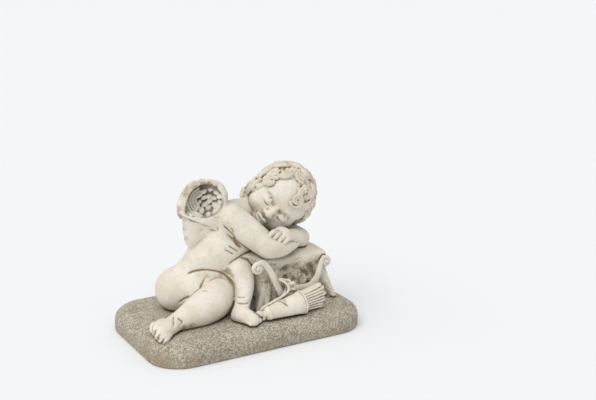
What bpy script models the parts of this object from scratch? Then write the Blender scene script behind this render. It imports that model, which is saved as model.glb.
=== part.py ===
"""Sleeping cherub garden statue, one solid stone casting.

A winged child sleeps with the head and crossed arms on a rock, the right leg
folded on a low pillow-like plinth and the left knee raised. A bow leans on the
rock and a quiver of arrows lies on the plinth.

Metres, +Z up. The origin is at the centre of the plinth's underside, +X runs
along the plinth towards the head and -Y is the side that the figure faces.
"""

import math

import bmesh
import bpy
import numpy as np
from mathutils import Matrix

# Driving sizes, in metres.
PLINTH_LENGTH = 0.420
PLINTH_WIDTH = 0.273
PLINTH_HEIGHT = 0.045
PLINTH_CORNER_RADIUS = 0.063
PLINTH_TOP_ROUND = 0.024
PLINTH_FOOT_ROUND = 0.005
PLINTH_DOME = 0.002
GROUP_HEIGHT = 0.260

# The carved group is laid out in millimetres above the plinth's top, at this height.
DRAWN_HEIGHT = 260.0
DRAWN_SCALE = GROUP_HEIGHT / DRAWN_HEIGHT

# How finely the stone is worked.
BODY_VOXEL = 3.0
FINE_VOXEL = 1.7
BODY_SMOOTHING = 26
FINE_SMOOTHING = 2
FACE_VOXEL = 1.4
TRIANGLES = 9400
PINCH_ROUNDS = 4


def mm(metres):
    return metres / DRAWN_SCALE


def vec(p):
    return np.array(p, dtype=float)


def unit(p):
    p = vec(p)
    return p / np.linalg.norm(p)


def unit_ball(level):
    """Positions and triangles of a ball of radius one."""
    bm = bmesh.new()
    bmesh.ops.create_icosphere(bm, subdivisions=level, radius=1.0)
    co = np.array([vert.co[:] for vert in bm.verts])
    tris = np.array([[vert.index for vert in face.verts] for face in bm.faces])
    bm.free()
    return co, tris


BALLS = {level: unit_ball(level) for level in (2, 3, 4)}


class Clay:
    """Closed shapes that overlap, gathered to be fused into one skin."""

    def __init__(self):
        self.co = []
        self.tris = []
        self.count = 0

    def add(self, co, tris):
        self.co.append(co)
        self.tris.append(tris + self.count)
        self.count += len(co)

    def ball(self, centre, radii, axes=None, level=3):
        """An ellipsoid. axes are the directions of its three radii."""
        co, tris = BALLS[level]
        co = co * np.broadcast_to(vec(radii), (3,))
        if axes is not None:
            co = co @ vec(axes)
        self.add(co + vec(centre), tris)

    def limb(self, points, radii, steps=0.3, level=3):
        """A round limb: a chain of balls along a smooth curve through the points."""
        for centre, radius, _ in along(points, radii, steps):
            self.ball(centre, radius, level=level)

    def strand(self, points, radii, up, flat=0.6, steps=0.5, level=2):
        """A flattened limb. Its thin side faces along up."""
        for centre, radius, forward in along(points, radii, steps):
            side = np.cross(forward, up)
            side = side / max(np.linalg.norm(side), 1e-6)
            top = np.cross(side, forward)
            self.ball(centre, (radius, radius, radius * flat), (side, forward, top), level)

    def box(self, centre, size, axes, round_off):
        """A block with rounded edges."""
        bm = bmesh.new()
        bmesh.ops.create_cube(bm, size=1.0)
        bmesh.ops.scale(bm, vec=size, verts=bm.verts)
        bmesh.ops.bevel(
            bm, geom=bm.edges[:], offset=round_off, segments=4, profile=0.5, affect="EDGES"
        )
        self.take(bm, centre, axes)

    def take(self, bm, centre, axes):
        """Adds a bmesh, turned to the axes and moved to the centre."""
        bmesh.ops.triangulate(bm, faces=bm.faces[:])
        bm.verts.index_update()
        co = np.array([vert.co[:] for vert in bm.verts])
        tris = np.array([[vert.index for vert in face.verts] for face in bm.faces])
        bm.free()
        self.add(co @ vec(axes) + vec(centre), tris)

    def mesh(self):
        co = np.concatenate(self.co)
        tris = np.concatenate(self.tris)
        out = bpy.data.meshes.new("clay")
        out.vertices.add(len(co))
        out.vertices.foreach_set("co", co.ravel())
        out.loops.add(tris.size)
        out.loops.foreach_set("vertex_index", tris.ravel())
        out.polygons.add(len(tris))
        out.polygons.foreach_set("loop_start", np.arange(0, tris.size, 3))
        out.update(calc_edges=True)
        return out


def spline(points, count):
    """A smooth curve through the points, as count positions (Catmull-Rom)."""
    p = np.array(points, dtype=float)
    if len(p) == 2:
        t = np.linspace(0, 1, count)[:, None]
        return p[0] * (1 - t) + p[1] * t
    p = np.vstack([2 * p[0] - p[1], p, 2 * p[-1] - p[-2]])
    spans = len(p) - 3
    out = []
    for t in np.linspace(0, spans, count):
        i = min(int(t), spans - 1)
        f = t - i
        a, b, c, d = p[i], p[i + 1], p[i + 2], p[i + 3]
        out.append(
            0.5 * (2 * b + (c - a) * f + (2 * a - 5 * b + 4 * c - d) * f**2
                   + (3 * b - a - 3 * c + d) * f**3)
        )
    return np.array(out)


def along(points, radii, steps):
    """Positions, radii and directions along a curve, spaced by a share of the radius."""
    if np.isscalar(radii):
        radii = [radii] * len(points)
    both = spline([list(p) + [r] for p, r in zip(points, radii)], 80)
    reach = np.concatenate([[0], np.cumsum(np.linalg.norm(np.diff(both[:, :3], axis=0), axis=1))])
    at = 0.0
    out = []
    while at < reach[-1]:
        row = [np.interp(at, reach, both[:, k]) for k in range(4)]
        ahead = [np.interp(min(at + 0.5, reach[-1]), reach, both[:, k]) for k in range(3)]
        behind = [np.interp(max(at - 0.5, 0), reach, both[:, k]) for k in range(3)]
        forward = vec(ahead) - vec(behind)
        out.append((row[:3], row[3], forward / max(np.linalg.norm(forward), 1e-6)))
        at += max(row[3] * steps, 0.4)
    last = both[-1]
    out.append((last[:3], last[3], out[-1][2]))
    return out


def joined(*meshes):
    """One mesh that holds copies of all the meshes, which are removed."""
    bm = bmesh.new()
    for mesh in meshes:
        bm.from_mesh(mesh)
        bpy.data.meshes.remove(mesh)
    out = bpy.data.meshes.new("clay")
    bm.to_mesh(out)
    bm.free()
    return out


def fused(mesh, voxel, rounds):
    """One skin round all the closed shapes in the mesh, evened out by smoothing."""
    worked = bpy.data.objects.new("clay", mesh)
    bpy.context.scene.collection.objects.link(worked)
    remesh = worked.modifiers.new("fuse", "REMESH")
    remesh.mode = "VOXEL"
    remesh.voxel_size = voxel
    remesh.adaptivity = 0.0
    if rounds:
        soften = worked.modifiers.new("soften", "SMOOTH")
        soften.factor = 0.5
        soften.iterations = rounds
    out = bpy.data.meshes.new_from_object(
        worked.evaluated_get(bpy.context.evaluated_depsgraph_get())
    )
    bpy.data.objects.remove(worked)
    bpy.data.meshes.remove(mesh)
    return out


def positions(mesh):
    co = np.empty(len(mesh.vertices) * 3)
    mesh.vertices.foreach_get("co", co)
    return co.reshape(-1, 3)


def normals(mesh):
    out = np.empty(len(mesh.vertices) * 3, dtype=np.float32)
    mesh.vertex_normals.foreach_get("vector", out)
    return out.reshape(-1, 3).astype(float)


def put(mesh, co):
    mesh.vertices.foreach_set("co", co.ravel())
    mesh.update()


def reach_to(co, path):
    """Distance from each position to a polyline."""
    path = np.array(path, dtype=float)
    best = np.full(len(co), 1e9)
    for a, b in zip(path[:-1], path[1:]):
        ab = b - a
        t = np.clip((co - a) @ ab / max(ab @ ab, 1e-9), 0, 1)
        best = np.minimum(best, np.linalg.norm(co - a - t[:, None] * ab, axis=1))
    return best


def pressed(part, path, way):
    """The places on the skin that the path's points meet when pressed in against way."""
    out = []
    for at in path:
        rel = part - at
        depth = rel @ way
        off = np.linalg.norm(rel - depth[:, None] * way, axis=1)
        under = np.where((off < PRESS_REACH) & (np.abs(depth) < PRESS_DEPTH))[0]
        if len(under):
            out.append(at + way * depth[under].max())
        else:
            out.append(part[np.argmin(np.linalg.norm(rel, axis=1))])
    return np.array(out)


def groove(mesh, points, width, depth, ends=True, way=None):
    """A crease pressed into the skin along a smooth line near it. It fades at its ends."""
    co = positions(mesh)
    no = normals(mesh)
    path = spline(points, 24)
    reach = width + PRESS_DEPTH
    near = np.where(np.all((co > path.min(0) - reach) & (co < path.max(0) + reach), axis=1))[0]
    if not len(near):
        return
    part = co[near]
    if way is None:
        path = np.array([part[np.argmin(np.linalg.norm(part - at, axis=1))] for at in path])
    else:
        path = pressed(part, path, way)
    for _ in range(3):
        path[1:-1] = (path[:-2] + 2 * path[1:-1] + path[2:]) / 4
    d = reach_to(part, path)
    fall = np.clip(1 - (d / width) ** 2, 0, 1) ** 2
    if ends:
        length = np.linalg.norm(np.diff(path, axis=0), axis=1).sum()
        fade = min(0.3 * length, 3 * width)
        tip = np.minimum(
            np.linalg.norm(part - path[0], axis=1), np.linalg.norm(part - path[-1], axis=1)
        )
        fall = fall * np.clip(tip / fade, 0.15, 1)
    co[near] = part - no[near] * (depth * fall)[:, None]
    put(mesh, co)


def dent(mesh, centre, radii, push):
    """Moves the skin within an ellipsoid by push, most at the centre."""
    co = positions(mesh)
    d = np.linalg.norm((co - vec(centre)) / vec(radii), axis=1)
    fall = np.clip(1 - d**2, 0, 1) ** 2
    put(mesh, co + fall[:, None] * vec(push))


# The figure, in drawn millimetres above the plinth's top.
HIP_R = (-103, 34, 36)
HIP_L = (-80, 56, 32)
KNEE_R = (-51, -24, 36)
CALF_R = (-98, -52, 21)
ANKLE_R = (-150, -65, 15)
TOES_R = (-188, -81, 8)
KNEE_L = (-12, -32, 77)
ANKLE_L = (-26, -74, 24)
HEEL_L = (-40, -80, 10)
TOES_L = (-22, -120, 8)
BELLY = (-56, 14, 84)
CHEST = (-24, 18, 134)
SHOULDER_R = (-18, -14, 172)
ELBOW_R = (36, -58, 119)
WRIST_R = (86, -50, 114)
SHOULDER_L = (44, 46, 150)
ELBOW_L = (122, -26, 116)
HAND_L = (66, -60, 136)
NECK = (34, 16, 172)
HEAD = (91, -6, 193)
HEAD_SIZE = 1.12

# The head's own axes: to the child's right, out of the face, and up to the crown.
FACE_OUT = unit((-0.60, -0.78, -0.135))
LEAN = vec((0.59, -0.56, 0.58))
CROWN = unit(LEAN - FACE_OUT * (LEAN @ FACE_OUT))
FACE_RIGHT = np.cross(FACE_OUT, CROWN)
HEAD_AXES = (FACE_RIGHT, FACE_OUT, CROWN)


# The scalp under the hair, as radii round the skull's middle, and how a lock is measured on it.
SCALP = (47, 51, 45)
SKULL = (0, -10, 9)
HAIR_REACH = 58.0
HAIR_SEEDS = 420
LOCK_APART = 0.29

# Where the hair begins: degrees round from the face, and degrees up from the head's level.
HAIRLINE = [
    (-180, -56), (-125, -48), (-104, -12), (-84, 6), (-64, 6), (-50, 8), (-44, 19), (-20, 20),
    (-4, 27), (6, 38), (18, 49), (32, 46), (38, 30), (40, 0), (44, -24), (50, -44), (64, -60),
    (180, -60),
]

# Where the hair stands out most, behind the right cheek, and by how much.
NAPE = (84, -42)
NAPE_BULK = 9.0

# Locks that are wound into rings: where, radius, start and sweep in degrees, half width.
RINGLETS = [
    (58, 17, 12.0, -150, -420, 5.2),
    (-8, 26, 9.0, 60, 430, 4.4),
    (82, -34, 9.0, 100, -400, 4.4),
    (72, -50, 8.0, 30, 400, 4.2),
    (30, 62, 10.0, 150, -380, 4.6),
    (-56, 36, 10.0, 40, 400, 4.6),
]

# The wings' middle and axes: across, up and out of the right wing's hollow.
WING = (-72, -4, 201)
WING_ACROSS = unit((0.864, -0.503, 0.0))
WING_OUT = unit((-0.487, -0.836, 0.255))
WING_UP = np.cross(WING_OUT, WING_ACROSS)
WING_GAP = 60.0

# Pressing works against this direction, within this far of a line and this deep.
FRONT = unit((-0.487, -0.836, 0.255))
PRESS_REACH = 2.2
PRESS_DEPTH = 26.0

# Creases: a line near the skin, with half its width and its depth.
CREASES = [
    ([(-43, -26, 166), (-33, -32, 154), (-19, -34, 137), (-9, -37, 123), (8, -34, 110)], 5.0, 4.0),
    ([(-30, -39, 162), (-24, -40, 146), (-14, -35, 128)], 4.0, 2.6),
    ([(-34, -37, 126), (-24, -38, 119), (-13, -37, 115)], 4.2, 3.2),
    ([(-46, -38, 118), (-38, -40, 110), (-26, -40, 106)], 4.2, 3.0),
    ([(-105, -2, 74), (-95, -11, 81), (-77, -24, 85), (-60, -35, 83), (-46, -37, 76), (-34, -43, 64),
      (-31, -60, 47)], 5.0, 3.4),
    ([(-76, -26, 72), (-82, -28, 64), (-90, -31, 55)], 4.5, 3.4),
    ([(-91, -34, 54), (-88, -47, 57), (-82, -57, 58)], 4.5, 3.0),
    ([(-93, -31, 52), (-102, -25, 43), (-110, -18, 36), (-116, -11, 30), (-121, -2, 20)], 4.5, 3.4),
    ([(-160, -62, 30), (-162, -79, 29), (-164, -88, 19), (-163, -89, 11)], 4.0, 2.6),
    ([(-150, -66, 30), (-152, -80, 25), (-147, -81, 19), (-146, -81, 12)], 4.0, 2.2),
    ([(-38, -64, 40), (-33, -69, 40), (-26, -78, 41), (-14, -76, 41)], 3.5, 2.2),
    ([(-40, -70, 32), (-37, -76, 32), (-27, -87, 32), (-12, -82, 30)], 3.5, 2.6),
]

# Creases of the back: the spine and the cleft below it, pressed in against the back's direction.
BACK = unit((-0.55, 0.72, 0.41))
BACK_CREASES = [
    ([(-15, 48, 176), (-48, 50, 152), (-79, 44, 101), (-100, 56, 76)], 8.0, 2.4),
    ([(-104, 64, 72), (-114, 66, 54), (-118, 60, 36), (-112, 58, 18)], 7.0, 6.0),
]

# Hollows of the rock's front: middle, radius and depth.
HOLLOWS = [((126, -46, 67), 8.0, 9.0), ((77, -45, 68), 11.0, 8.0), ((98, -42, 40), 12.0, 6.0)]


def on_head(x, y, z):
    """A point given from the head's middle along its own axes."""
    return vec(HEAD) + HEAD_SIZE * (FACE_RIGHT * x + FACE_OUT * y + CROWN * z)


def head_ball(clay, centre, radii, level=3):
    clay.ball(on_head(*centre), HEAD_SIZE * np.broadcast_to(vec(radii), (3,)), HEAD_AXES, level)


def body_masses():
    """Trunk, thighs and upper arms: the large soft forms that run into each other."""
    clay = Clay()
    clay.ball(HIP_R, (44, 42, 43))
    clay.ball(HIP_L, (40, 40, 38))
    clay.ball((-84, 32, 42), 39)
    clay.limb([(-80, 30, 50), BELLY, CHEST], [39, 42, 46])
    clay.ball((-46, 0, 92), (41, 40, 40))
    clay.ball((-30, -4, 108), 38)
    clay.ball((-8, -4, 116), 34)
    clay.limb([CHEST, (10, 22, 158)], [44, 34])
    clay.limb([HIP_R, (-80, 6, 40), KNEE_R], [43, 39, 33])
    clay.limb([HIP_L, (-50, 16, 56), KNEE_L], [36, 30, 25])
    clay.limb([(-16, 4, 160), SHOULDER_R], [34, 29])
    clay.limb([(14, 26, 160), SHOULDER_L], [34, 28])
    clay.limb([SHOULDER_L, (86, 14, 134), ELBOW_L], [26, 23, 19])
    clay.limb([(6, 20, 160), NECK, (66, 6, 184)], [30, 27, 28])
    return fused(clay.mesh(), BODY_VOXEL, BODY_SMOOTHING)


def near_limbs():
    """The right arm, the lower legs and the feet, which lie against the body in creases."""
    arm = Clay()
    arm.limb([SHOULDER_R, (8, -38, 147), ELBOW_R], [28, 26, 22])
    arm.limb([ELBOW_R, (62, -56, 115), WRIST_R], [22, 19, 13])
    arm.ball((96, -46, 113), (12, 11, 10))
    arm = fused(arm.mesh(), BODY_VOXEL, 10)
    left = Clay()
    left.limb([ELBOW_L, (100, -42, 126), HAND_L], [18, 15, 11])
    left = fused(left.mesh(), 2.0, 8)
    calf = Clay()
    calf.limb([KNEE_R, (-68, -42, 30), CALF_R, (-126, -60, 17), ANKLE_R], [35, 34, 31, 23, 16])
    calf.limb([ANKLE_R, (-168, -73, 11)], [16, 16])
    calf.ball((-182, -80, 6), (18, 19, 11), (unit((-38, -12, -10)), unit((12, -38, -12)), (-0.2, -0.25, 0.95)))
    calf = fused(calf.mesh(), BODY_VOXEL, 8)
    shin = Clay()
    shin.limb([KNEE_L, (-10, -50, 54), ANKLE_L], [25, 19, 14])
    shin.limb([ANKLE_L, HEEL_L], [14, 12])
    shin.limb([(-34, -86, 13), TOES_L], [15, 10])
    shin = fused(shin.mesh(), 2.5, 8)
    return [arm, left, calf, shin]


def head_mass():
    """Skull, cheeks and jaw of a round-faced child, by common proportions."""
    clay = Clay()
    head_ball(clay, SKULL, SCALP, 4)
    head_ball(clay, (0, 14, 14), (44, 34, 36), 4)
    head_ball(clay, (0, 14, -12), (45, 33, 35), 4)
    for side in (-1, 1):
        head_ball(clay, (side * 21, 24, -22), (20, 20, 19))
        head_ball(clay, (side * 18, 4, -29), (22, 27, 21))
    head_ball(clay, (0, 23, -34), (22, 24, 18))
    head_ball(clay, (0, 35, -45), (12, 11, 10))
    head_ball(clay, (0, 0, -34), (34, 30, 22))
    return fused(clay.mesh(), 2.5, 14)


def face_features(head):
    """Closed eyes, nose and mouth at common proportions, worked into the head's skin."""
    clay = Clay()
    for side in (-1, 1):
        head_ball(clay, (side * 18.5, 35.5, -5), (11.5, 12, 8.5))
        clay.limb(
            [on_head(side * 8, 43.5, 8), on_head(side * 18, 44, 12), on_head(side * 30, 37.5, 9)],
            [4, 4.6, 4],
        )
        head_ball(clay, (side * 5.8, 48.5, -18.5), (4.2, 4.6, 3.8))
        head_ball(clay, (side * 23, 30, -22), (15, 14, 13))
        clay.limb(
            [on_head(0, 49.5, -29.5), on_head(side * 5, 48.8, -28.8), on_head(side * 11, 44.5, -31)],
            [3.2, 3.4, 2.0],
        )
        clay.limb(
            [on_head(0, 48.2, -35), on_head(side * 5, 47.2, -35), on_head(side * 9.5, 44, -33.5)],
            [3.9, 3.6, 2.2],
        )
    clay.limb(
        [on_head(0, 44, 5), on_head(0, 47.5, -6), on_head(0, 52, -17)], [5, 5.2, 6.4], 0.2
    )
    head_ball(clay, (0, 38, -47), (9, 9, 7.5))
    features = joined(head, clay.mesh())
    head = fused(features, FACE_VOXEL, 6)
    for side in (-1, 1):
        dent(head, on_head(side * 8.5, 45, 0), (8, 8, 9), FACE_OUT * -3.0)
        lid = [on_head(side * x, 45, z) for x, z in ((9, -6.5), (14, -9.5), (19, -10.5), (25, -9), (30, -6))]
        groove(head, lid, 2.8, 2.4)
        fold = [on_head(side * x, 46, z) for x, z in ((10, 0), (18, 3.5), (27, 2))]
        groove(head, fold, 2.8, 1.3)
        wing = [on_head(side * x, y, z) for x, y, z in ((7.5, 49, -14), (10.5, 47, -18), (8.5, 46, -22))]
        groove(head, wing, 2.4, 1.3)
        dent(head, on_head(side * 3.6, 50, -22.5), (3.4, 4.5, 3.0), CROWN * 3.2)
        dent(head, on_head(side * 13, 44, -32), (4.5, 5, 4.5), FACE_OUT * -2.2)
    mouth = [on_head(x, y, z) for x, y, z in
             ((-12.5, 44, -31.8), (-6, 49, -32), (0, 50, -32.6), (6, 49, -32), (12.5, 44, -31.8))]
    groove(head, mouth, 2.6, 2.8)
    groove(head, [on_head(0, 50, -24), on_head(0, 50, -27)], 2.6, 1.2, False)
    dent(head, on_head(0, 47, -40.5), (11, 6, 4), FACE_OUT * -2.2)
    return head


def ear(clay, side):
    """An outer ear: a curled rim, an inner fold and a lobe on a low plate."""
    def at(y, z, out=0.0):
        return on_head(side * (49 + out), y + 6, z)

    rim = [at(2, -4, 1), at(3, 5, 2), at(-3, 11, 4), at(-11, 8, 6), at(-13, -2, 6), at(-8, -12, 4)]
    clay.limb(rim, [2.4, 2.8, 3.0, 3.0, 2.8, 2.8], 0.4, 2)
    inner = [at(-3, 5, 3), at(-8, 1, 4), at(-7, -6, 3), at(-2, -8, 2)]
    clay.limb(inner, [1.8, 2.2, 2.2, 1.8], 0.4, 2)
    head_ball(clay, (side * 51, 2, -14), (3.6, 4.4, 4.8))
    head_ball(clay, (side * 47, 1, -1), (4, 9, 12))


def toward(lon, lat):
    """The direction out of the skull, degrees round from the face and up, on the head's axes."""
    lon = math.radians(lon)
    lat = math.radians(lat)
    return vec((math.sin(lon) * math.cos(lat), math.cos(lon) * math.cos(lat), math.sin(lat)))


class Scalp:
    """The bare head's skin as distances from the skull's middle, for laying hair on."""

    def __init__(self, head):
        rel = positions(head) - on_head(*SKULL)
        self.reach = np.linalg.norm(rel, axis=1)
        self.ways = rel / self.reach[:, None]

    def at(self, d, out):
        """The place on the skin in direction d, raised by out."""
        way = outward(d)
        way = way / np.linalg.norm(way)
        out = out + NAPE_BULK * math.exp(-((1 - d @ toward(*NAPE)) / 0.09))
        return on_head(*SKULL) + way * (self.reach[np.argmax(self.ways @ way)] + out)


def outward(d):
    return FACE_RIGHT * d[0] + FACE_OUT * d[1] + CROWN * d[2]


def has_hair(d, over=0.0):
    """Whether direction d lies behind the hairline by over degrees or more."""
    lon = math.degrees(math.atan2(d[0], d[1]))
    lat = math.degrees(math.asin(np.clip(d[2], -1, 1)))
    aside = over / max(math.cos(math.radians(lat)), 0.4)
    return all(
        lat - down > np.interp(lon + shift, *zip(*HAIRLINE))
        for shift, down in ((0, over), (aside, 0), (-aside, 0))
    )


def tangents(d):
    """Directions round the skull and down it, at right angles to d."""
    east = np.cross(d, (0, 0, 1))
    east = east / max(np.linalg.norm(east), 1e-6)
    return east, np.cross(d, east)


def lock(clay, scalp, tip, heading, length, turn, width):
    """A lock of three strands that ends at tip and winds tighter as it runs."""
    whorl = toward(170, 58)
    flow = tip * (tip @ whorl) - whorl
    flow = flow / max(np.linalg.norm(flow), 1e-6)
    lean = math.radians(heading)
    way = flow * math.cos(lean) + np.cross(tip, flow) * math.sin(lean)
    d = tip - way * 0.62 * length / HAIR_REACH
    d = d / np.linalg.norm(d)
    steps = 18
    trail = []
    for k in range(steps + 1):
        share = k / steps
        way = way - d * (way @ d)
        way = way / np.linalg.norm(way)
        trail.append((d, way, share))
        bend = math.radians(turn) * 2 * (share + 0.5 / steps) / steps
        way = way * math.cos(bend) + np.cross(d, way) * math.sin(bend)
        d = d + way * length / steps / HAIR_REACH
        d = d / np.linalg.norm(d)
    for offset in (-1, 0, 1):
        points = []
        radii = []
        for d, way, share in trail[::2]:
            full = math.sin(math.pi * min(0.16 + 0.84 * share, 1.0)) ** 0.7
            across = outward(np.cross(way, d)) * offset * width * (0.12 + 0.44 * full)
            rise = 0.6 + 4.4 * math.sin(math.pi * min(0.08 + share * 0.75, 1.0)) + 1.6 * share
            points.append(scalp.at(d, rise - abs(offset) * 1.3) + across)
            radii.append(width * (0.20 + 0.19 * full))
        clay.strand(points, radii, outward(trail[steps // 2][0]), 1.0, 0.45)


def ringlet(clay, scalp, lon, lat, radius, start, sweep, width):
    """A lock wound round an open middle, of two strands."""
    d = toward(lon, lat)
    east, south = tangents(d)
    steps = 22
    for offset in (-0.5, 0.5):
        points = []
        radii = []
        for k in range(steps + 1):
            share = k / steps
            angle = math.radians(start + sweep * share)
            reach = radius * (1.0 - 0.66 * share) + offset * width * (1.15 - 0.5 * share)
            at = d + (east * math.cos(angle) + south * math.sin(angle)) * reach / HAIR_REACH
            points.append(scalp.at(at / np.linalg.norm(at), 4.4 + 2.6 * share + offset * 0.8))
            radii.append(width * (0.66 - 0.16 * share))
        clay.strand(points, radii, outward(d), 1.0, 0.4)


def hair(head):
    clay = Clay()
    scalp = Scalp(head)
    for lon in range(-180, 180, 10):
        for lat in range(-60, 95, 10):
            d = toward(lon, lat)
            if has_hair(d, 3):
                clay.ball(scalp.at(d, -6.5), 9.0, level=2)
    taken = []
    for lon, lat, radius, start, sweep, width in RINGLETS:
        ringlet(clay, scalp, lon, lat, radius, start, sweep, width)
        taken.append((toward(lon, lat), 1.25))
    rng = np.random.default_rng(7)
    edge = []
    for (lon_a, lat_a), (lon_b, lat_b) in zip(HAIRLINE[:-1], HAIRLINE[1:]):
        for share in np.linspace(0, 1, 6, endpoint=False):
            lon = lon_a + (lon_b - lon_a) * share
            lat = lat_a + (lat_b - lat_a) * share
            for aside, up in ((0, 6), (7, 0), (-7, 0), (5, 5), (-5, 5)):
                edge.append(toward(lon + aside, lat + up))
    golden = math.pi * (3 - math.sqrt(5))
    for k in range(HAIR_SEEDS):
        z = 1 - 2 * (k + 0.5) / HAIR_SEEDS
        r = math.sqrt(1 - z * z)
        edge.append(vec((r * math.sin(golden * k), r * math.cos(golden * k), z)))
    for k, d in enumerate(edge):
        if not has_hair(d, 5) or any(d @ other > math.cos(LOCK_APART * room) for other, room in taken):
            continue
        taken.append((d, 1.0))
        turn = (-1) ** len(taken) * rng.uniform(150, 260)
        lock(clay, scalp, d, rng.uniform(-45, 45), rng.uniform(32, 42), turn, rng.uniform(8.2, 9.8))
    ear(clay, -1)
    return clay


def hands(clay):
    """The left fingers over the right forearm. The right fist is tucked under the left arm."""
    clay.ball((70, -54, 142), (17, 11, 9), (unit((0.9, -0.1, -0.4)), (0, 1, 0), unit((0.4, 0, 0.9))))
    for k in range(4):
        share = k / 3
        tip = vec((34, -66, 143)) * (1 - share) + vec((62, -71, 127)) * share
        knuckle = tip + vec((16, 8, 4))
        middle = (tip + knuckle) / 2 + vec((0, -2, 2.5))
        clay.limb([knuckle, middle, tip], [5.0, 4.7, 3.9], 0.3)


def feet(clay):
    """Toes of both feet. The right ones hang over the plinth's rounded edge."""
    clay.limb([(-166, -72, 12), (-182, -78, 9), (-191, -82, 3)], [16, 14, 11], 0.3)
    for k in range(5):
        share = k / 4
        tip = vec((-201, -68, 10)) * (1 - share) + vec((-193, -99, -6)) * share
        size = (6.8, 5.4, 5.1, 4.8, 4.6)[k]
        clay.limb([tip + vec((16, 4, 4)), tip], [size * 1.05, size * 0.95], 0.3)
    for k in range(5):
        share = k / 4
        tip = vec((-30, -125, 4)) * (1 - share) + vec((-10, -117, 5)) * share
        size = (4.0, 4.3, 4.6, 5.0, 6.0)[k]
        clay.limb([tip + vec((-3, 12, 2)), tip], [size, size * 0.9], 0.3)


def wing_point(a, b, c, side):
    """A point of a wing by its own axes: across, up and out. The left wing mirrors the right."""
    depth = c if side > 0 else -WING_GAP - c
    return vec(WING) + WING_ACROSS * a + WING_UP * b + WING_OUT * depth


def bowl(a, b):
    """Depth of a wing's hollow at a place across and up it."""
    rho = min(math.hypot((a - 2) / 37, (b - 2) / 35), 1.0)
    return -19 + 17 * rho ** 2.4


def wing(side):
    """A cupped wing: a broad rim, rows of scale feathers inside and long ones at the edge."""
    clay = Clay()
    out = WING_OUT * side

    def at(a, b, c):
        return wing_point(a, b, c, side)

    rim = [(40, -12, -10), (41, 5, -5), (36, 22, -1), (20, 35, 0), (-2, 36, 0), (-21, 29, 1),
           (-33, 15, 2), (-39, -2, 3), (-40, -18, 3), (-36, -27, 2)]
    clay.strand([at(*p) for p in rim], [5, 4.4, 4.4, 5.6, 6.2, 7.0, 8.4, 8.8, 7.6, 5.5], out, 0.62, 0.25, 3)
    for k in range(9):
        angle = math.radians(38 + 19 * k)
        a = 2 + 39 * math.cos(angle)
        b = 1 + 38.5 * math.sin(angle)
        clay.ball(at(a, b, 0.5), (6.5, 4.4, 4.0),
                  (WING_ACROSS * -math.sin(angle) + WING_UP * math.cos(angle),
                   WING_ACROSS * math.cos(angle) + WING_UP * math.sin(angle), out))
    for row in range(-7, 8):
        for col in range(-8, 9):
            a = 5 * col
            b = 5 * row
            if math.hypot((a - 2) / 39, (b - 2) / 37) < 1 and b > -33 - a * 0.25:
                clay.ball(at(a, b, bowl(a, b) - 6.5), 6.5, level=2)
    axes = (WING_ACROSS, WING_UP, out)
    clay.ball(at(12, -31, -15), (26, 14, 11), axes, 4)
    clay.ball(at(34, -14, -17), (13, 22, 11), axes, 4)
    lip = [at(*p) for p in ((-40, -23, 4), (-22, -30, 0), (3, -40, -7), (24, -47, -14))]
    clay.strand(lip, [3.0, 3.4, 3.4, 3.0], WING_UP, 0.7, 0.3, 3)
    flap = [at(*p) for p in ((-16, -33, -10), (-21, -50, -15), (-25, -67, -18), (-27, -76, -19))]
    clay.strand(flap, [21, 16.5, 10.5, 6.5], out, 0.34, 0.2, 3)
    clay.limb([at(6, -46, -22), at(-8, -60, -26), at(-18, -74, -27)], [12, 10, 6])
    clay = fused(clay.mesh(), 1.6, 3)
    feathers = Clay()
    along_row = unit(WING_ACROSS * 0.88 + WING_UP * 0.47)
    tip_way = unit(WING_ACROSS * -0.50 - WING_UP * 0.84 + out * 0.30)
    face = np.cross(along_row, tip_way)
    for row in range(-3, 4):
        for col in range(-4, 5):
            run = 12.4 * (col + 0.5 * (row % 2))
            fall = 9.8 * row
            a = 8 + run * 0.88 - fall * 0.47
            b = 2 + run * 0.47 + fall * 0.88
            if math.hypot((a - 10) / 28, (b - 2) / 30) > 1:
                continue
            axes = (unit(np.cross(tip_way, face)), tip_way, face)
            feathers.ball(at(a, b, bowl(a, b) + 1.4), (5.6, 7.4, 3.6), axes)
    for k in range(4):
        arc = []
        for step in range(8):
            angle = math.radians(118 + 17 * step)
            a = (33 - 5.2 * k) * math.cos(angle)
            b = (33 - 4.8 * k) * math.sin(angle)
            arc.append(at(a, b, bowl(a, b) + 2.2))
        feathers.strand(arc, [2.0, 2.6, 2.9, 3.0, 3.0, 2.9, 2.6, 1.8], out, 0.8, 0.3)
    return joined(clay, feathers.mesh())


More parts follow.
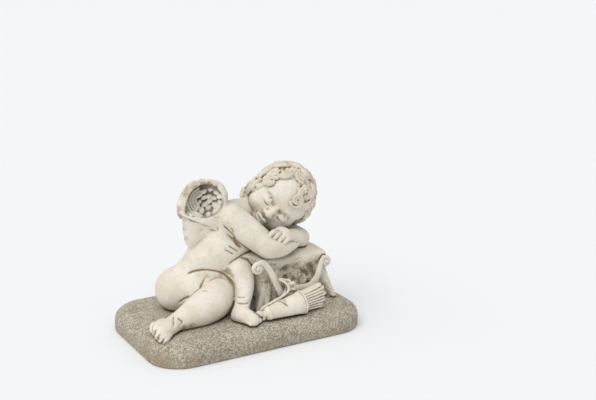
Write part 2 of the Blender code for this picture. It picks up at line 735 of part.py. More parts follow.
def bow(clay):
    """A flat bow with scrolled ends that leans on the rock, tied by a ribbon at its grip."""
    left = [(62, -76, 36), (53, -75, 46), (42, -72, 69), (30, -72, 86.5), (17, -74, 96), (6, -76, 98)]
    clay.strand(left, [6.4, 6.0, 6.0, 5.8, 5.2, 4.0], (0, -1, 0.2), 0.62, 0.3, 3)
    right = [(66, -76, 36), (86, -74, 34), (106, -70, 32), (118, -67, 33), (128, -63, 44), (138, -59, 60),
             (149, -55, 75), (157, -52, 81)]
    clay.strand(right, [6.4, 6.2, 6.4, 6.4, 6.2, 5.8, 4.8, 4.0], (0, -1, 0.2), 0.62, 0.3, 3)
    for middle, start, way in (((2, -78, 89), 75, 1), ((164, -50, 70), 125, -1)):
        turn = []
        for step in range(10):
            angle = math.radians(start + way * 44 * step)
            reach = 9.5 - 0.85 * step
            turn.append((middle[0] + reach * math.cos(angle), middle[1] - 0.3 * step,
                         middle[2] + reach * math.sin(angle)))
        clay.limb(turn, [4.0, 4.0, 3.9, 3.7, 3.4, 3.2, 3.0, 2.8, 2.8, 3.0], 0.35, 2)
    clay.ball((67, -79, 39), (7, 6, 7))
    for dx, dz, size in ((-9, 7, 4.2), (11, 8, 4.6), (7, -8, 4.0), (-7, -7, 3.6), (1, 10, 3.6)):
        clay.limb([(67, -80, 39), (67 + dx * 0.5, -82, 39 + dz * 0.6), (67 + dx, -80, 39 + dz)],
                  [3.4, 3.6, size], 0.4, 2)
    clay.limb([(60, -82, 32), (50, -88, 20), (34, -92, 9), (16, -90, 3)], [3.0, 3.2, 3.0, 2.4], 0.4, 2)


def quiver(clay):
    """A tapered case on its side with a rimmed mouth, a knob, and the flights of its arrows."""
    foot = vec((0, -107, 12))
    mouth = vec((79, -104, 19))
    axis = unit(mouth - foot)
    side = unit(np.cross(axis, (0, 0, 1)))
    top = np.cross(side, axis)
    bm = bmesh.new()
    long = np.linalg.norm(mouth - foot)
    bmesh.ops.create_cone(bm, cap_ends=True, segments=40, radius1=12.5, radius2=20.0, depth=long)
    clay.take(bm, (foot + mouth) / 2, (side, top, axis))
    clay.ball(foot, (12.5, 12.5, 6), (side, top, axis))
    clay.limb([foot, foot - axis * 11, foot - axis * 19], [8, 5, 6], 0.3)
    for reach, radius, thick in ((0, 20.0, 2.6), (-8, 19.2, 1.4), (-long + 5, 12.8, 2.0)):
        ring = [mouth + axis * reach + (side * math.cos(t) + top * math.sin(t)) * radius
                for t in np.linspace(0, 2 * math.pi, 25)]
        clay.limb(ring, thick, 0.5, 2)
    clay.ball(mouth, (17, 17, 10), (side, top, axis))
    for k in range(6):
        share = k / 5
        root = mouth + top * (15 - 25 * share) + side * (-1 + 5 * share)
        tip = root + axis * (36 + 14 * math.sin(math.pi * share)) + top * (6 - 10 * share) + side * (2 * share)
        clay.strand([root, (root + tip) / 2, tip], [5.0, 5.4, 5.0], side * 0.2 + top, 0.5, 0.3, 3)
    clay.ball(mouth + axis * 18, (12, 7, 26), (top, side, axis))


def rock():
    """A broken boulder under the arms: a smooth top ledge over a rough hollow front."""
    clay = Clay()
    axes = ((1, 0, 0), (0, 1, 0), (0, 0, 1))
    clay.box((102, 6, 36), (124, 84, 96), axes, 16)
    clay.box((102, -3, 80), (136, 96, 24), axes, 11)
    clay.ball((60, -8, 80), (46, 46, 21), axes)
    clay.ball((122, -10, 81), (50, 46, 21), axes)
    clay.ball((16, -14, 92), (34, 34, 12), axes)
    clay = fused(clay.mesh(), 3.0, 8)
    rough = Clay()
    rng = np.random.default_rng(11)
    for _ in range(46):
        x = rng.uniform(44, 166)
        z = rng.uniform(0, 76)
        size = rng.uniform(8, 14)
        turn = unit(rng.normal(size=3))
        across = unit(np.cross(turn, (0.3, 0.2, 0.9)))
        rough.ball((x, -38 - rng.uniform(0, 7), z), (size, size * 0.6, size * 0.9),
                   (turn, across, np.cross(turn, across)))
    for _ in range(24):
        y = rng.uniform(-30, 46)
        z = rng.uniform(2, 78)
        size = rng.uniform(9, 14)
        rough.ball((160 + rng.uniform(-2, 4), y, z), (size * 0.8, size, size))
    for _ in range(40):
        x = rng.uniform(46, 158)
        z = rng.uniform(2, 84)
        size = rng.uniform(12, 21)
        turn = unit(rng.normal(size=3))
        across = unit(np.cross(turn, (0.3, 0.2, 0.9)))
        rough.ball((x, 53 - size * 0.5 - abs(x - 102) * 0.12, z), (size, size * 0.7, size * 0.85),
                   (turn, across, np.cross(turn, across)))
    rough.limb([(32, -36, 84), (30, -42, 50), (28, -48, 20), (24, -54, 4)], [16, 13, 12, 14])
    rough.limb([(50, -40, 50), (48, -50, 22), (50, -58, 4)], [11, 9, 9])
    rough.limb([(158, -30, 56), (166, -44, 28), (175, -60, 3)], [13, 9, 6])
    rough.strand([(-10, -26, 103), (14, -34, 100), (40, -44, 92), (60, -46, 88)], [13, 14, 14, 12],
                 (0.2, -0.3, 1), 0.4, 0.3, 3)
    return joined(clay, rough.mesh())


def carve(skin):
    """Creases of the flesh and hollows of the rock."""
    for points, width, depth in CREASES:
        groove(skin, points, width, depth, way=FRONT)
    for points, width, depth in BACK_CREASES:
        groove(skin, points, width, depth, way=BACK)
    for centre, radius, depth in HOLLOWS:
        dent(skin, centre, (radius, radius * 1.4, radius), (0, depth, 0))


def plinth_block():
    """The pillow-shaped plinth, a little deeper than its height so that it can be cut flat."""
    spare = 4.0
    dome = mm(PLINTH_DOME)
    foot = mm(PLINTH_FOOT_ROUND)
    top = mm(PLINTH_TOP_ROUND)
    height = mm(PLINTH_HEIGHT) - dome
    bm = bmesh.new()
    bmesh.ops.create_cube(bm, size=1.0)
    bmesh.ops.scale(bm, vec=(mm(PLINTH_LENGTH), mm(PLINTH_WIDTH), height), verts=bm.verts)
    bmesh.ops.translate(bm, vec=(0, 0, -dome - height / 2), verts=bm.verts)
    upright = [edge for edge in bm.edges if abs(edge.verts[0].co.z - edge.verts[1].co.z) > 1]
    round_edges(bm, upright, mm(PLINTH_CORNER_RADIUS))
    round_edges(bm, level_edges(bm, -dome), top)
    under = level_edges(bm, -dome - height)
    round_edges(bm, under, foot)
    cover = max(bm.faces, key=lambda face: face.calc_center_median().z)
    bmesh.ops.inset_region(bm, faces=[cover], thickness=mm(PLINTH_CORNER_RADIUS) * 0.97 - top, depth=dome)
    sole = min(bm.faces, key=lambda face: face.calc_center_median().z)
    bmesh.ops.inset_region(bm, faces=[sole], thickness=0.5, depth=spare)
    out = bpy.data.meshes.new("plinth")
    bm.to_mesh(out)
    bm.free()
    return out


def level_edges(bm, z):
    """The edges that lie at height z."""
    return [edge for edge in bm.edges if all(abs(vert.co.z - z) < 1e-3 for vert in edge.verts)]


def round_edges(bm, edges, radius):
    bmesh.ops.bevel(
        bm, geom=edges, offset=radius, segments=12, profile=0.5, affect="EDGES", clamp_overlap=False
    )


def outer_skin(bm):
    """Drops the specks that the remesh leaves in closed pockets inside the stone."""
    left = set(bm.verts)
    largest = set()
    while left:
        grown = {left.pop()}
        edge_of = list(grown)
        while edge_of:
            vert = edge_of.pop()
            for edge in vert.link_edges:
                other = edge.other_vert(vert)
                if other in left:
                    left.remove(other)
                    grown.add(other)
                    edge_of.append(other)
        if len(grown) > len(largest):
            largest = grown
    bmesh.ops.delete(bm, geom=[vert for vert in bm.verts if vert not in largest], context="VERTS")


def unpinched(bm):
    """Cuts out the spots where the skin meets itself along an edge, wider at each try, and closes them."""
    for tries in range(PINCH_ROUNDS):
        pinched = {vert for edge in bm.edges if len(edge.link_faces) != 2 for vert in edge.verts}
        if not pinched:
            return
        for _ in range(tries):
            pinched |= {edge.other_vert(vert) for vert in pinched for edge in vert.link_edges}
        spots = {face for vert in pinched for face in vert.link_faces}
        bmesh.ops.delete(bm, geom=list(spots), context="FACES")
        rims = [edge for edge in bm.edges if edge.is_boundary]
        bmesh.ops.holes_fill(bm, edges=rims, sides=0)
        bmesh.ops.triangulate(bm, faces=[face for face in bm.faces if len(face.verts) > 3])


def finished(mesh):
    """The fine skin, thinned to facets and cut flat under the plinth."""
    worked = bpy.data.objects.new("clay", mesh)
    bpy.context.scene.collection.objects.link(worked)
    thin = worked.modifiers.new("thin", "DECIMATE")
    thin.ratio = min(1.0, TRIANGLES / (2.0 * len(mesh.polygons)))
    out = bpy.data.meshes.new_from_object(
        worked.evaluated_get(bpy.context.evaluated_depsgraph_get())
    )
    bpy.data.objects.remove(worked)
    bpy.data.meshes.remove(mesh)
    bm = bmesh.new()
    bm.from_mesh(out)
    outer_skin(bm)
    unpinched(bm)
    lift = Matrix.Translation((0, 0, PLINTH_HEIGHT)) @ Matrix.Scale(DRAWN_SCALE, 4)
    bmesh.ops.transform(bm, matrix=lift, verts=bm.verts)
    cut = bmesh.ops.bisect_plane(
        bm, geom=bm.verts[:] + bm.edges[:] + bm.faces[:], dist=1e-6,
        plane_co=(0, 0, 0), plane_no=(0, 0, 1), clear_inner=True,
    )
    rim = [item for item in cut["geom_cut"] if isinstance(item, bmesh.types.BMEdge)]
    bmesh.ops.contextual_create(bm, geom=rim)
    bmesh.ops.triangulate(bm, faces=[face for face in bm.faces if len(face.verts) > 3])
    bmesh.ops.recalc_face_normals(bm, faces=bm.faces)
    bm.to_mesh(out)
    bm.free()
    return out


def build():
    for thing in list(bpy.data.objects):
        bpy.data.objects.remove(thing, do_unlink=True)
    head = head_mass()
    details = hair(head)
    hands(details)
    feet(details)
    bow(details)
    quiver(details)
    pieces = [body_masses(), face_features(head), rock(), wing(1), wing(-1), plinth_block()]
    skin = fused(joined(*pieces, *near_limbs(), details.mesh()), FINE_VOXEL, FINE_SMOOTHING)
    carve(skin)
    mesh = finished(skin)
    mesh.name = "cherub_statue"
    home = bpy.data.collections.new("cherub garden statue")
    bpy.context.scene.collection.children.link(home)
    statue = bpy.data.objects.new("cherub_statue", mesh)
    home.objects.link(statue)
    stone = bpy.data.materials.new("cast_stone")
    stone.use_nodes = True
    shader = stone.node_tree.nodes["Principled BSDF"]
    shader.inputs["Base Color"].default_value = (0.62, 0.58, 0.50, 1.0)
    shader.inputs["Roughness"].default_value = 0.85
    shader.inputs["Metallic"].default_value = 0.0
    mesh.materials.append(stone)
    return statue


build()
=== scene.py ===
"""Looks of the sleeping cherub garden statue: the casting carved finely, weathered, lit and framed.

The forms repeat the part's own, in finer skins. Each skin is then roughened, and the dirt and
the painted shade of each place are worked out from its own hollows, from how much sky it
sees and from where it meets its neighbours.
"""

import math

import bmesh
import bpy
import numpy as np
from mathutils import Matrix, Vector
from mathutils.bvhtree import BVHTree
from mathutils.kdtree import KDTree


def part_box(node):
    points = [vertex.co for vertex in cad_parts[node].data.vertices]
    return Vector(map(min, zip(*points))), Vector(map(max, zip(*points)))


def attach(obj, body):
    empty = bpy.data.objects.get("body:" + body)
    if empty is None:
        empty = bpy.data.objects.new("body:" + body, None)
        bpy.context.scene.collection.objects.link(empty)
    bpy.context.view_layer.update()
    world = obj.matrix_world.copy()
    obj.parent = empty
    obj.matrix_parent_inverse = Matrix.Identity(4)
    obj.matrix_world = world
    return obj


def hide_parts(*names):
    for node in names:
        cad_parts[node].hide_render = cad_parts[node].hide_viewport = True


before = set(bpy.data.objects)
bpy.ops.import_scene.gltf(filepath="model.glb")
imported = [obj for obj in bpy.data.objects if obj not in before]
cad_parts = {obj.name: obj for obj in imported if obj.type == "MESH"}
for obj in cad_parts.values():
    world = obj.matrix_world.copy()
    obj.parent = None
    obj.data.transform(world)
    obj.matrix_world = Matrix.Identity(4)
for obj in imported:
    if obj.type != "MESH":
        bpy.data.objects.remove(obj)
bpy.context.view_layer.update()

NODE = "cherub_statue"
LOW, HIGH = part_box(NODE)

# Driving sizes, in metres. The plinth's plan comes from the frame.
PLINTH_LENGTH = HIGH.x - LOW.x
PLINTH_WIDTH = HIGH.y - LOW.y
PLINTH_HEIGHT = 0.045
PLINTH_CORNER_RADIUS = 0.063
PLINTH_TOP_ROUND = 0.024
PLINTH_FOOT_ROUND = 0.005
PLINTH_DOME = 0.002
GROUP_HEIGHT = 0.260

# The carved group is laid out in millimetres above the plinth's top, at this height.
DRAWN_HEIGHT = 260.0
DRAWN_SCALE = GROUP_HEIGHT / DRAWN_HEIGHT

# How each mass is worked: voxel in drawn millimetres, and rounds of smoothing.
MASSES = {
    "trunk": (3.0, 26), "right_arm": (3.0, 10), "left_arm": (2.0, 8), "calf": (3.0, 8), "shin": (2.5, 8),
    "head": (2.5, 14), "face": (1.1, 6), "wing": (1.6, 3), "boulder": (3.0, 8), "rock": (1.8, 5),
}


def mm(metres):
    """Metres as drawn millimetres."""
    return metres / DRAWN_SCALE


def vec(p):
    return np.array(p, dtype=float)


def unit(p):
    """The direction of p."""
    p = vec(p)
    return p / max(np.linalg.norm(p), 1e-6)


def placed(name, data):
    """A new object in the scene."""
    item = bpy.data.objects.new(name, data)
    bpy.context.scene.collection.objects.link(item)
    return item


def corners_of(bm):
    """Positions and triangles of a bmesh, which is freed."""
    co = np.array([vert.co[:] for vert in bm.verts])
    tris = np.array([[vert.index for vert in face.verts] for face in bm.faces])
    bm.free()
    return co, tris


def unit_ball(level):
    """Positions and triangles of a ball of radius one."""
    bm = bmesh.new()
    bmesh.ops.create_icosphere(bm, subdivisions=level, radius=1.0)
    return corners_of(bm)


BALLS = {level: unit_ball(level) for level in (2, 3, 4)}


class Clay:
    """Closed shapes that overlap, gathered to be fused into one skin."""

    def __init__(self):
        self.co = []
        self.tris = []
        self.count = 0

    def add(self, co, tris):
        self.co.append(co)
        self.tris.append(tris + self.count)
        self.count += len(co)

    def ball(self, centre, radii, axes=None, level=3):
        """An ellipsoid. axes are the directions of its three radii."""
        co, tris = BALLS[level]
        co = co * np.broadcast_to(vec(radii), (3,))
        if axes is not None:
            co = co @ vec(axes)
        self.add(co + vec(centre), tris)

    def limb(self, points, radii, steps=0.3, level=3):
        """A round limb: a chain of balls along a smooth curve through the points."""
        for centre, radius, _ in along(points, radii, steps):
            self.ball(centre, radius, level=level)

    def strand(self, points, radii, up, flat, steps, level=2):
        """A flattened limb. Its thin side faces along up."""
        for centre, radius, forward in along(points, radii, steps):
            side = unit(np.cross(forward, up))
            top = np.cross(side, forward)
            self.ball(centre, (radius, radius, radius * flat), (side, forward, top), level)

    def box(self, centre, size, axes, round_off):
        """A block with rounded edges."""
        bm = bmesh.new()
        bmesh.ops.create_cube(bm, size=1.0)
        bmesh.ops.scale(bm, vec=size, verts=bm.verts)
        bmesh.ops.bevel(
            bm, geom=bm.edges[:], offset=round_off, segments=4, profile=0.5, affect="EDGES"
        )
        self.take(bm, centre, axes)

    def take(self, bm, centre, axes):
        """Adds a bmesh, turned to the axes and moved to the centre."""
        bmesh.ops.triangulate(bm, faces=bm.faces[:])
        bm.verts.index_update()
        co, tris = corners_of(bm)
        self.add(co @ vec(axes) + vec(centre), tris)

    def mesh(self):
        co = np.concatenate(self.co)
        tris = np.concatenate(self.tris)
        out = bpy.data.meshes.new("clay")
        out.vertices.add(len(co))
        out.vertices.foreach_set("co", co.ravel())
        out.loops.add(tris.size)
        out.loops.foreach_set("vertex_index", tris.ravel())
        out.polygons.add(len(tris))
        out.polygons.foreach_set("loop_start", np.arange(0, tris.size, 3))
        out.update(calc_edges=True)
        return out


def spline(points, count):
    """A smooth curve through the points, as count positions (Catmull-Rom)."""
    p = np.array(points, dtype=float)
    if len(p) == 2:
        t = np.linspace(0, 1, count)[:, None]
        return p[0] * (1 - t) + p[1] * t
    p = np.vstack([2 * p[0] - p[1], p, 2 * p[-1] - p[-2]])
    spans = len(p) - 3
    out = []
    for t in np.linspace(0, spans, count):
        i = min(int(t), spans - 1)
        f = t - i
        a, b, c, d = p[i], p[i + 1], p[i + 2], p[i + 3]
        out.append(
            0.5 * (2 * b + (c - a) * f + (2 * a - 5 * b + 4 * c - d) * f**2
                   + (3 * b - a - 3 * c + d) * f**3)
        )
    return np.array(out)


def along(points, radii, steps):
    """Positions, radii and directions along a curve, spaced by a share of the radius."""
    if np.isscalar(radii):
        radii = [radii] * len(points)
    both = spline([list(p) + [r] for p, r in zip(points, radii)], 80)
    reach = np.concatenate([[0], np.cumsum(np.linalg.norm(np.diff(both[:, :3], axis=0), axis=1))])
    at = 0.0
    out = []
    while at < reach[-1]:
        row = [np.interp(at, reach, both[:, k]) for k in range(4)]
        ahead = [np.interp(min(at + 0.5, reach[-1]), reach, both[:, k]) for k in range(3)]
        behind = [np.interp(max(at - 0.5, 0), reach, both[:, k]) for k in range(3)]
        out.append((row[:3], row[3], unit(vec(ahead) - vec(behind))))
        at += max(row[3] * steps, 0.4)
    last = both[-1]
    out.append((last[:3], last[3], out[-1][2]))
    return out


def joined(*meshes):
    """One mesh that holds copies of all the meshes, which are removed."""
    bm = bmesh.new()
    for mesh in meshes:
        bm.from_mesh(mesh)
        bpy.data.meshes.remove(mesh)
    out = bpy.data.meshes.new("clay")
    bm.to_mesh(out)
    bm.free()
    return out


def worked(mesh, *steps):
    """The mesh after modifiers, each given by its kind and settings. The mesh itself is removed."""
    clay = placed("clay", mesh)
    for kind, settings in steps:
        modifier = clay.modifiers.new(kind, kind)
        for name, value in settings.items():
            setattr(modifier, name, value)
    out = bpy.data.meshes.new_from_object(
        clay.evaluated_get(bpy.context.evaluated_depsgraph_get())
    )
    bpy.data.objects.remove(clay)
    bpy.data.meshes.remove(mesh)
    return out


def fused(mesh, voxel, rounds):
    """One skin round all the closed shapes in the mesh, evened out by smoothing."""
    steps = [("REMESH", {"mode": "VOXEL", "voxel_size": voxel, "adaptivity": 0.0})]
    if rounds:
        steps.append(("SMOOTH", {"factor": 0.5, "iterations": rounds}))
    return worked(mesh, *steps)


def positions(mesh):
    """The vertices' places, one row each."""
    co = np.empty(len(mesh.vertices) * 3)
    mesh.vertices.foreach_get("co", co)
    return co.reshape(-1, 3)


def normals(mesh):
    """The vertices' normals, one row each."""
    out = np.empty(len(mesh.vertices) * 3, dtype=np.float32)
    mesh.vertex_normals.foreach_get("vector", out)
    return out.reshape(-1, 3).astype(float)


def put(mesh, co):
    """Moves the vertices to those places."""
    mesh.vertices.foreach_set("co", co.ravel())
    mesh.update()


def reach_to(co, path):
    """Distance from each position to a polyline."""
    path = np.array(path, dtype=float)
    best = np.full(len(co), 1e9)
    for a, b in zip(path[:-1], path[1:]):
        ab = b - a
        t = np.clip((co - a) @ ab / max(ab @ ab, 1e-9), 0, 1)
        best = np.minimum(best, np.linalg.norm(co - a - t[:, None] * ab, axis=1))
    return best


def pressed(part, path, way):
    """The places on the skin that the path's points meet when pressed in against way."""
    out = []
    for at in path:
        rel = part - at
        depth = rel @ way
        off = np.linalg.norm(rel - depth[:, None] * way, axis=1)
        under = np.where((off < PRESS_REACH) & (np.abs(depth) < PRESS_DEPTH))[0]
        if len(under):
            out.append(at + way * depth[under].max())
        else:
            out.append(part[np.argmin(np.linalg.norm(rel, axis=1))])
    return np.array(out)


def groove(mesh, points, width, depth, ends=True, way=None):
    """A crease pressed into the skin along a smooth line near it. It fades at its ends."""
    co = positions(mesh)
    no = normals(mesh)
    path = spline(points, 24)
    reach = width + PRESS_DEPTH
    near = np.where(np.all((co > path.min(0) - reach) & (co < path.max(0) + reach), axis=1))[0]
    part = co[near]
    if way is None:
        path = np.array([part[np.argmin(np.linalg.norm(part - at, axis=1))] for at in path])
    else:
        path = pressed(part, path, way)
    for _ in range(3):
        path[1:-1] = (path[:-2] + 2 * path[1:-1] + path[2:]) / 4
    d = reach_to(part, path)
    fall = np.clip(1 - (d / width) ** 2, 0, 1) ** 2
    if ends:
        length = np.linalg.norm(np.diff(path, axis=0), axis=1).sum()
        fade = min(0.3 * length, 3 * width)
        tip = np.minimum(
            np.linalg.norm(part - path[0], axis=1), np.linalg.norm(part - path[-1], axis=1)
        )
        fall = fall * np.clip(tip / fade, 0.15, 1)
    co[near] = part - no[near] * (depth * fall)[:, None]
    put(mesh, co)
    return near, fall


def dent(mesh, centre, radii, push):
    """Moves the skin within an ellipsoid by push, most at the centre."""
    co = positions(mesh)
    d = np.linalg.norm((co - vec(centre)) / vec(radii), axis=1)
    fall = np.clip(1 - d**2, 0, 1) ** 2
    put(mesh, co + fall[:, None] * vec(push))


# The figure, in drawn millimetres above the plinth's top.
HIP_R = (-103, 34, 36)
HIP_L = (-80, 56, 32)
KNEE_R = (-51, -24, 36)
CALF_R = (-98, -52, 21)
ANKLE_R = (-150, -65, 15)
KNEE_L = (-12, -32, 77)
ANKLE_L = (-26, -74, 24)
HEEL_L = (-40, -80, 10)
BELLY = (-56, 14, 84)
CHEST = (-24, 18, 134)
SHOULDER_R = (-18, -14, 172)
ELBOW_R = (36, -58, 119)
WRIST_R = (86, -50, 114)
SHOULDER_L = (44, 46, 150)
ELBOW_L = (122, -26, 116)
HAND_L = (66, -60, 136)
NECK = (34, 16, 172)
HEAD = (91, -6, 193)
HEAD_SIZE = 1.12

# The head's own axes: to the child's right, out of the face, and up to the crown.
FACE_OUT = unit((-0.60, -0.78, -0.135))
LEAN = vec((0.59, -0.56, 0.58))
CROWN = unit(LEAN - FACE_OUT * (LEAN @ FACE_OUT))
FACE_RIGHT = np.cross(FACE_OUT, CROWN)
HEAD_AXES = (FACE_RIGHT, FACE_OUT, CROWN)


# The scalp under the hair, as radii round the skull's middle. The length that turns a lock's
# millimetres into angle, how many seats are tried, and the angle that locks and ringlets keep free.
SCALP = (47, 51, 45)
SKULL = (0, -10, 9)
HAIR_REACH = 58.0
HAIR_SEEDS = 420
LOCK_APART = 0.29
RINGLET_ROOM = 1.25

# The pad under the locks: radius of its balls and how deep they sit. And how many degrees behind
# the hairline the pad and the locks keep.
PAD_RADIUS = 9.0
PAD_SINK = 6.5
PAD_MARGIN = 3
LOCK_MARGIN = 5

# Where the hair whorls, with all locks flowing away from it. And how far back from its seat a lock
# starts, as a share of its length.
WHORL = (170, 58)
LOCK_BACK = 0.62

# A lock's lean, length, turn and half width, each from least to most.
LOCK_LEAN = (-45, 45)
LOCK_LENGTH = (32, 42)
LOCK_TURN = (70, 190)
LOCK_WIDTH = (8.2, 9.8)

# Where the hair begins: degrees round from the face, and degrees up from the head's level.
HAIRLINE = [
    (-180, -56), (-125, -48), (-104, -12), (-84, 6), (-64, 6), (-50, 8), (-44, 19), (-20, 20),
    (-4, 27), (6, 38), (18, 49), (32, 46), (38, 30), (40, 0), (44, -24), (50, -44), (64, -60),
    (180, -60),
]

# Where the hair stands out most, behind the right cheek, by how much, and how far round.
NAPE = (84, -42)
NAPE_BULK = 9.0
NAPE_SPREAD = 0.09

# Locks that are wound into rings: where, radius, start and sweep in degrees, half width.
RINGLETS = [
    (58, 17, 12.0, -150, -420, 5.2),
    (-8, 26, 9.0, 60, 430, 4.4),
    (82, -34, 9.0, 100, -400, 4.4),
    (72, -50, 8.0, 30, 400, 4.2),
    (30, 62, 10.0, 150, -380, 4.6),
    (-56, 36, 10.0, 40, 400, 4.6),
]

# The wings' middle and axes: across, up and out of the right wing's hollow.
WING = (-72, -4, 201)
WING_ACROSS = unit((0.864, -0.503, 0.0))
WING_OUT = unit((-0.487, -0.836, 0.255))
WING_UP = np.cross(WING_OUT, WING_ACROSS)
WING_GAP = 60.0

# The wing's hollow, across and up: its middle and its radii. Its bed: the depth at the middle, the
# rise from there to the rim, and how late it rises. And the lip below it.
BOWL = (7, 7, 37, 33)
BED = (-19, 17, 2.4)
LIP = [(-34, -18, 4), (-13, -26, 1), (7, -35, -6), (28, -45, -14)]

# Pressing works against this direction, within this far of a line and this deep.
FRONT = unit((-0.487, -0.836, 0.255))
PRESS_REACH = 2.2
PRESS_DEPTH = 26.0

# Round each crease the flesh sinks too: how much wider and how much less deep. And the depth from
# which a crease is full of dirt.
CREASE_SPREAD = 2.6
CREASE_SINK = 0.3
FULL_DIRT_DEPTH = 2.4

# Creases: a line near the skin, with half its width and its depth.
CREASES = [
    ([(-43, -25, 169), (-33, -29, 155), (-23, -33, 142), (-13, -32, 126), (-1, -34, 114)], 4.6, 3.6),
    ([(-31, -38, 163), (-27, -39, 154), (-22, -34, 144)], 3.4, 2.2),
    ([(-35, -34, 129), (-25, -37, 122), (-12, -38, 112)], 3.4, 2.6),
    ([(-43, -35, 123), (-33, -40, 116), (-21, -40, 108)], 3.2, 2.2),
    ([(-37, -39, 92), (-28, -41, 98), (-11, -39, 104), (8, -37, 105)], 3.2, 1.6),
    ([(-105, -2, 74), (-95, -11, 81), (-77, -24, 85), (-60, -35, 83), (-46, -37, 76), (-34, -43, 64),
      (-31, -60, 47)], 3.8, 2.6),
    ([(-76, -26, 72), (-82, -28, 64), (-90, -31, 55)], 3.4, 2.4),
    ([(-91, -34, 54), (-88, -47, 57), (-82, -57, 58)], 3.4, 1.8),
    ([(-93, -31, 52), (-102, -25, 43), (-110, -18, 36), (-116, -11, 30), (-121, -2, 20)], 3.6, 2.6),
    ([(-158, -66, 31), (-160, -76, 29), (-163, -86, 21), (-164, -88, 11)], 3.6, 2.4),
    ([(-152, -70, 29), (-151, -80, 25), (-146, -81, 19), (-149, -81, 12)], 3.2, 2.0),
    ([(-38, -64, 40), (-33, -69, 40), (-26, -78, 41), (-14, -76, 41)], 3.0, 1.7),
    ([(-40, -70, 32), (-37, -76, 32), (-27, -87, 32), (-12, -82, 30)], 3.0, 1.9),
    ([(27, -6, 190), (31, -14, 175), (32, -26, 168)], 3.0, 0.8),
    ([(-106, 5, 184), (-91, -1, 173), (-73, -9, 165), (-52, -14, 155)], 2.8, 1.8),
]

# Creases of the back: the spine and the cleft below it, pressed in against the back's direction.
BACK = unit((-0.55, 0.72, 0.41))
BACK_CREASES = [
    ([(-15, 48, 176), (-48, 50, 152), (-79, 44, 101), (-100, 56, 76)], 8.0, 2.4),
    ([(-104, 64, 72), (-114, 66, 54), (-118, 60, 36), (-112, 58, 18)], 7.0, 6.0),
]

# Tips and half widths of the right foot's toes, from the smallest.
RIGHT_TOES = [
    ((-196, -66, 9), 5.0), ((-195, -74.5, 6), 5.2), ((-193.5, -82.5, 1.5), 5.4), ((-191, -90, -3.5), 5.6),
    ((-187, -97, -8.5), 6.6),
]

# Hollows of the rock's front: middle, radius and depth.
HOLLOWS = [((129, -46, 67), 8.0, 11.0), ((79, -45, 68), 12.0, 8.0), ((96, -42, 36), 12.0, 6.0)]

# Flutes low on the rock's front: a line near it, with half its width and its depth.
FLUTES = [
    ([(x, -46, top), (x + 1, -48, low)], 3.2, 2.2)
    for x, top, low in (
        (88, 62, 44), (94, 60, 42), (105, 58, 38), (115, 56, 35), (124, 54, 36), (140, 60, 40)
    )
]


def on_head(x, y, z):
    """A point given from the head's middle along its own axes."""
    return vec(HEAD) + HEAD_SIZE * (FACE_RIGHT * x + FACE_OUT * y + CROWN * z)


def over_head(points, side=1):
    """Points given on the head's own axes, mirrored where side is -1."""
    return [on_head(side * x, y, z) for x, y, z in points]


def head_ball(clay, centre, radii, level=3):
    """An ellipsoid given on the head's own axes."""
    clay.ball(on_head(*centre), HEAD_SIZE * np.broadcast_to(vec(radii), (3,)), HEAD_AXES, level)


def body_masses():
    """Trunk, thighs and upper arms: the large soft forms that run into each other."""
    clay = Clay()
    clay.ball(HIP_R, (44, 42, 43))
    clay.ball(HIP_L, (40, 40, 38))
    clay.ball((-84, 32, 42), 39)
    clay.limb([(-80, 30, 50), BELLY, CHEST], [39, 42, 46])
    clay.ball((-46, 0, 92), (41, 40, 40))
    clay.ball((-30, -4, 108), 38)
    clay.ball((-8, -4, 116), 34)
    clay.limb([CHEST, (10, 22, 158)], [44, 34])
    clay.limb([HIP_R, (-80, 6, 40), KNEE_R], [43, 39, 33])
    clay.limb([HIP_L, (-50, 16, 56), KNEE_L], [36, 30, 25])
    clay.limb([(-16, 4, 160), SHOULDER_R], [34, 29])
    clay.limb([(14, 26, 160), SHOULDER_L], [34, 28])
    clay.limb([SHOULDER_L, (86, 14, 134), ELBOW_L], [26, 23, 19])
    clay.limb([(6, 20, 160), NECK, (66, 6, 184)], [30, 27, 28])
    return fused(clay.mesh(), *MASSES["trunk"])


def near_limbs():
    """The right arm, the lower legs and the feet, which lie against the body in creases."""
    arm = Clay()
    arm.limb([SHOULDER_R, (8, -38, 147), ELBOW_R], [28, 26, 22])
    arm.limb([ELBOW_R, (62, -56, 115), WRIST_R], [22, 19, 13])
    arm.ball((96, -46, 113), (12, 11, 10))
    arm = fused(arm.mesh(), *MASSES["right_arm"])
    left = Clay()
    left.limb([ELBOW_L, (100, -42, 126), HAND_L], [18, 15, 11])
    left = fused(left.mesh(), *MASSES["left_arm"])
    calf = Clay()
    calf.limb([KNEE_R, (-68, -42, 30), CALF_R, (-126, -60, 17), ANKLE_R], [35, 34, 31, 23, 16])
    calf.limb([ANKLE_R, (-168, -73, 11)], [16, 16])
    sole_axes = (unit((-38, -12, -10)), unit((12, -38, -12)), (-0.2, -0.25, 0.95))
    calf.ball((-182, -80, 6), (18, 19, 11), sole_axes)
    calf = fused(calf.mesh(), *MASSES["calf"])
    shin = Clay()
    shin.limb([KNEE_L, (-10, -50, 54), ANKLE_L], [25, 19, 14])
    shin.limb([ANKLE_L, HEEL_L], [14, 12])
    shin.limb([(-34, -86, 13), (-24, -112, 9)], [16, 12])
    shin = fused(shin.mesh(), *MASSES["shin"])
    return [arm, left, calf, shin]


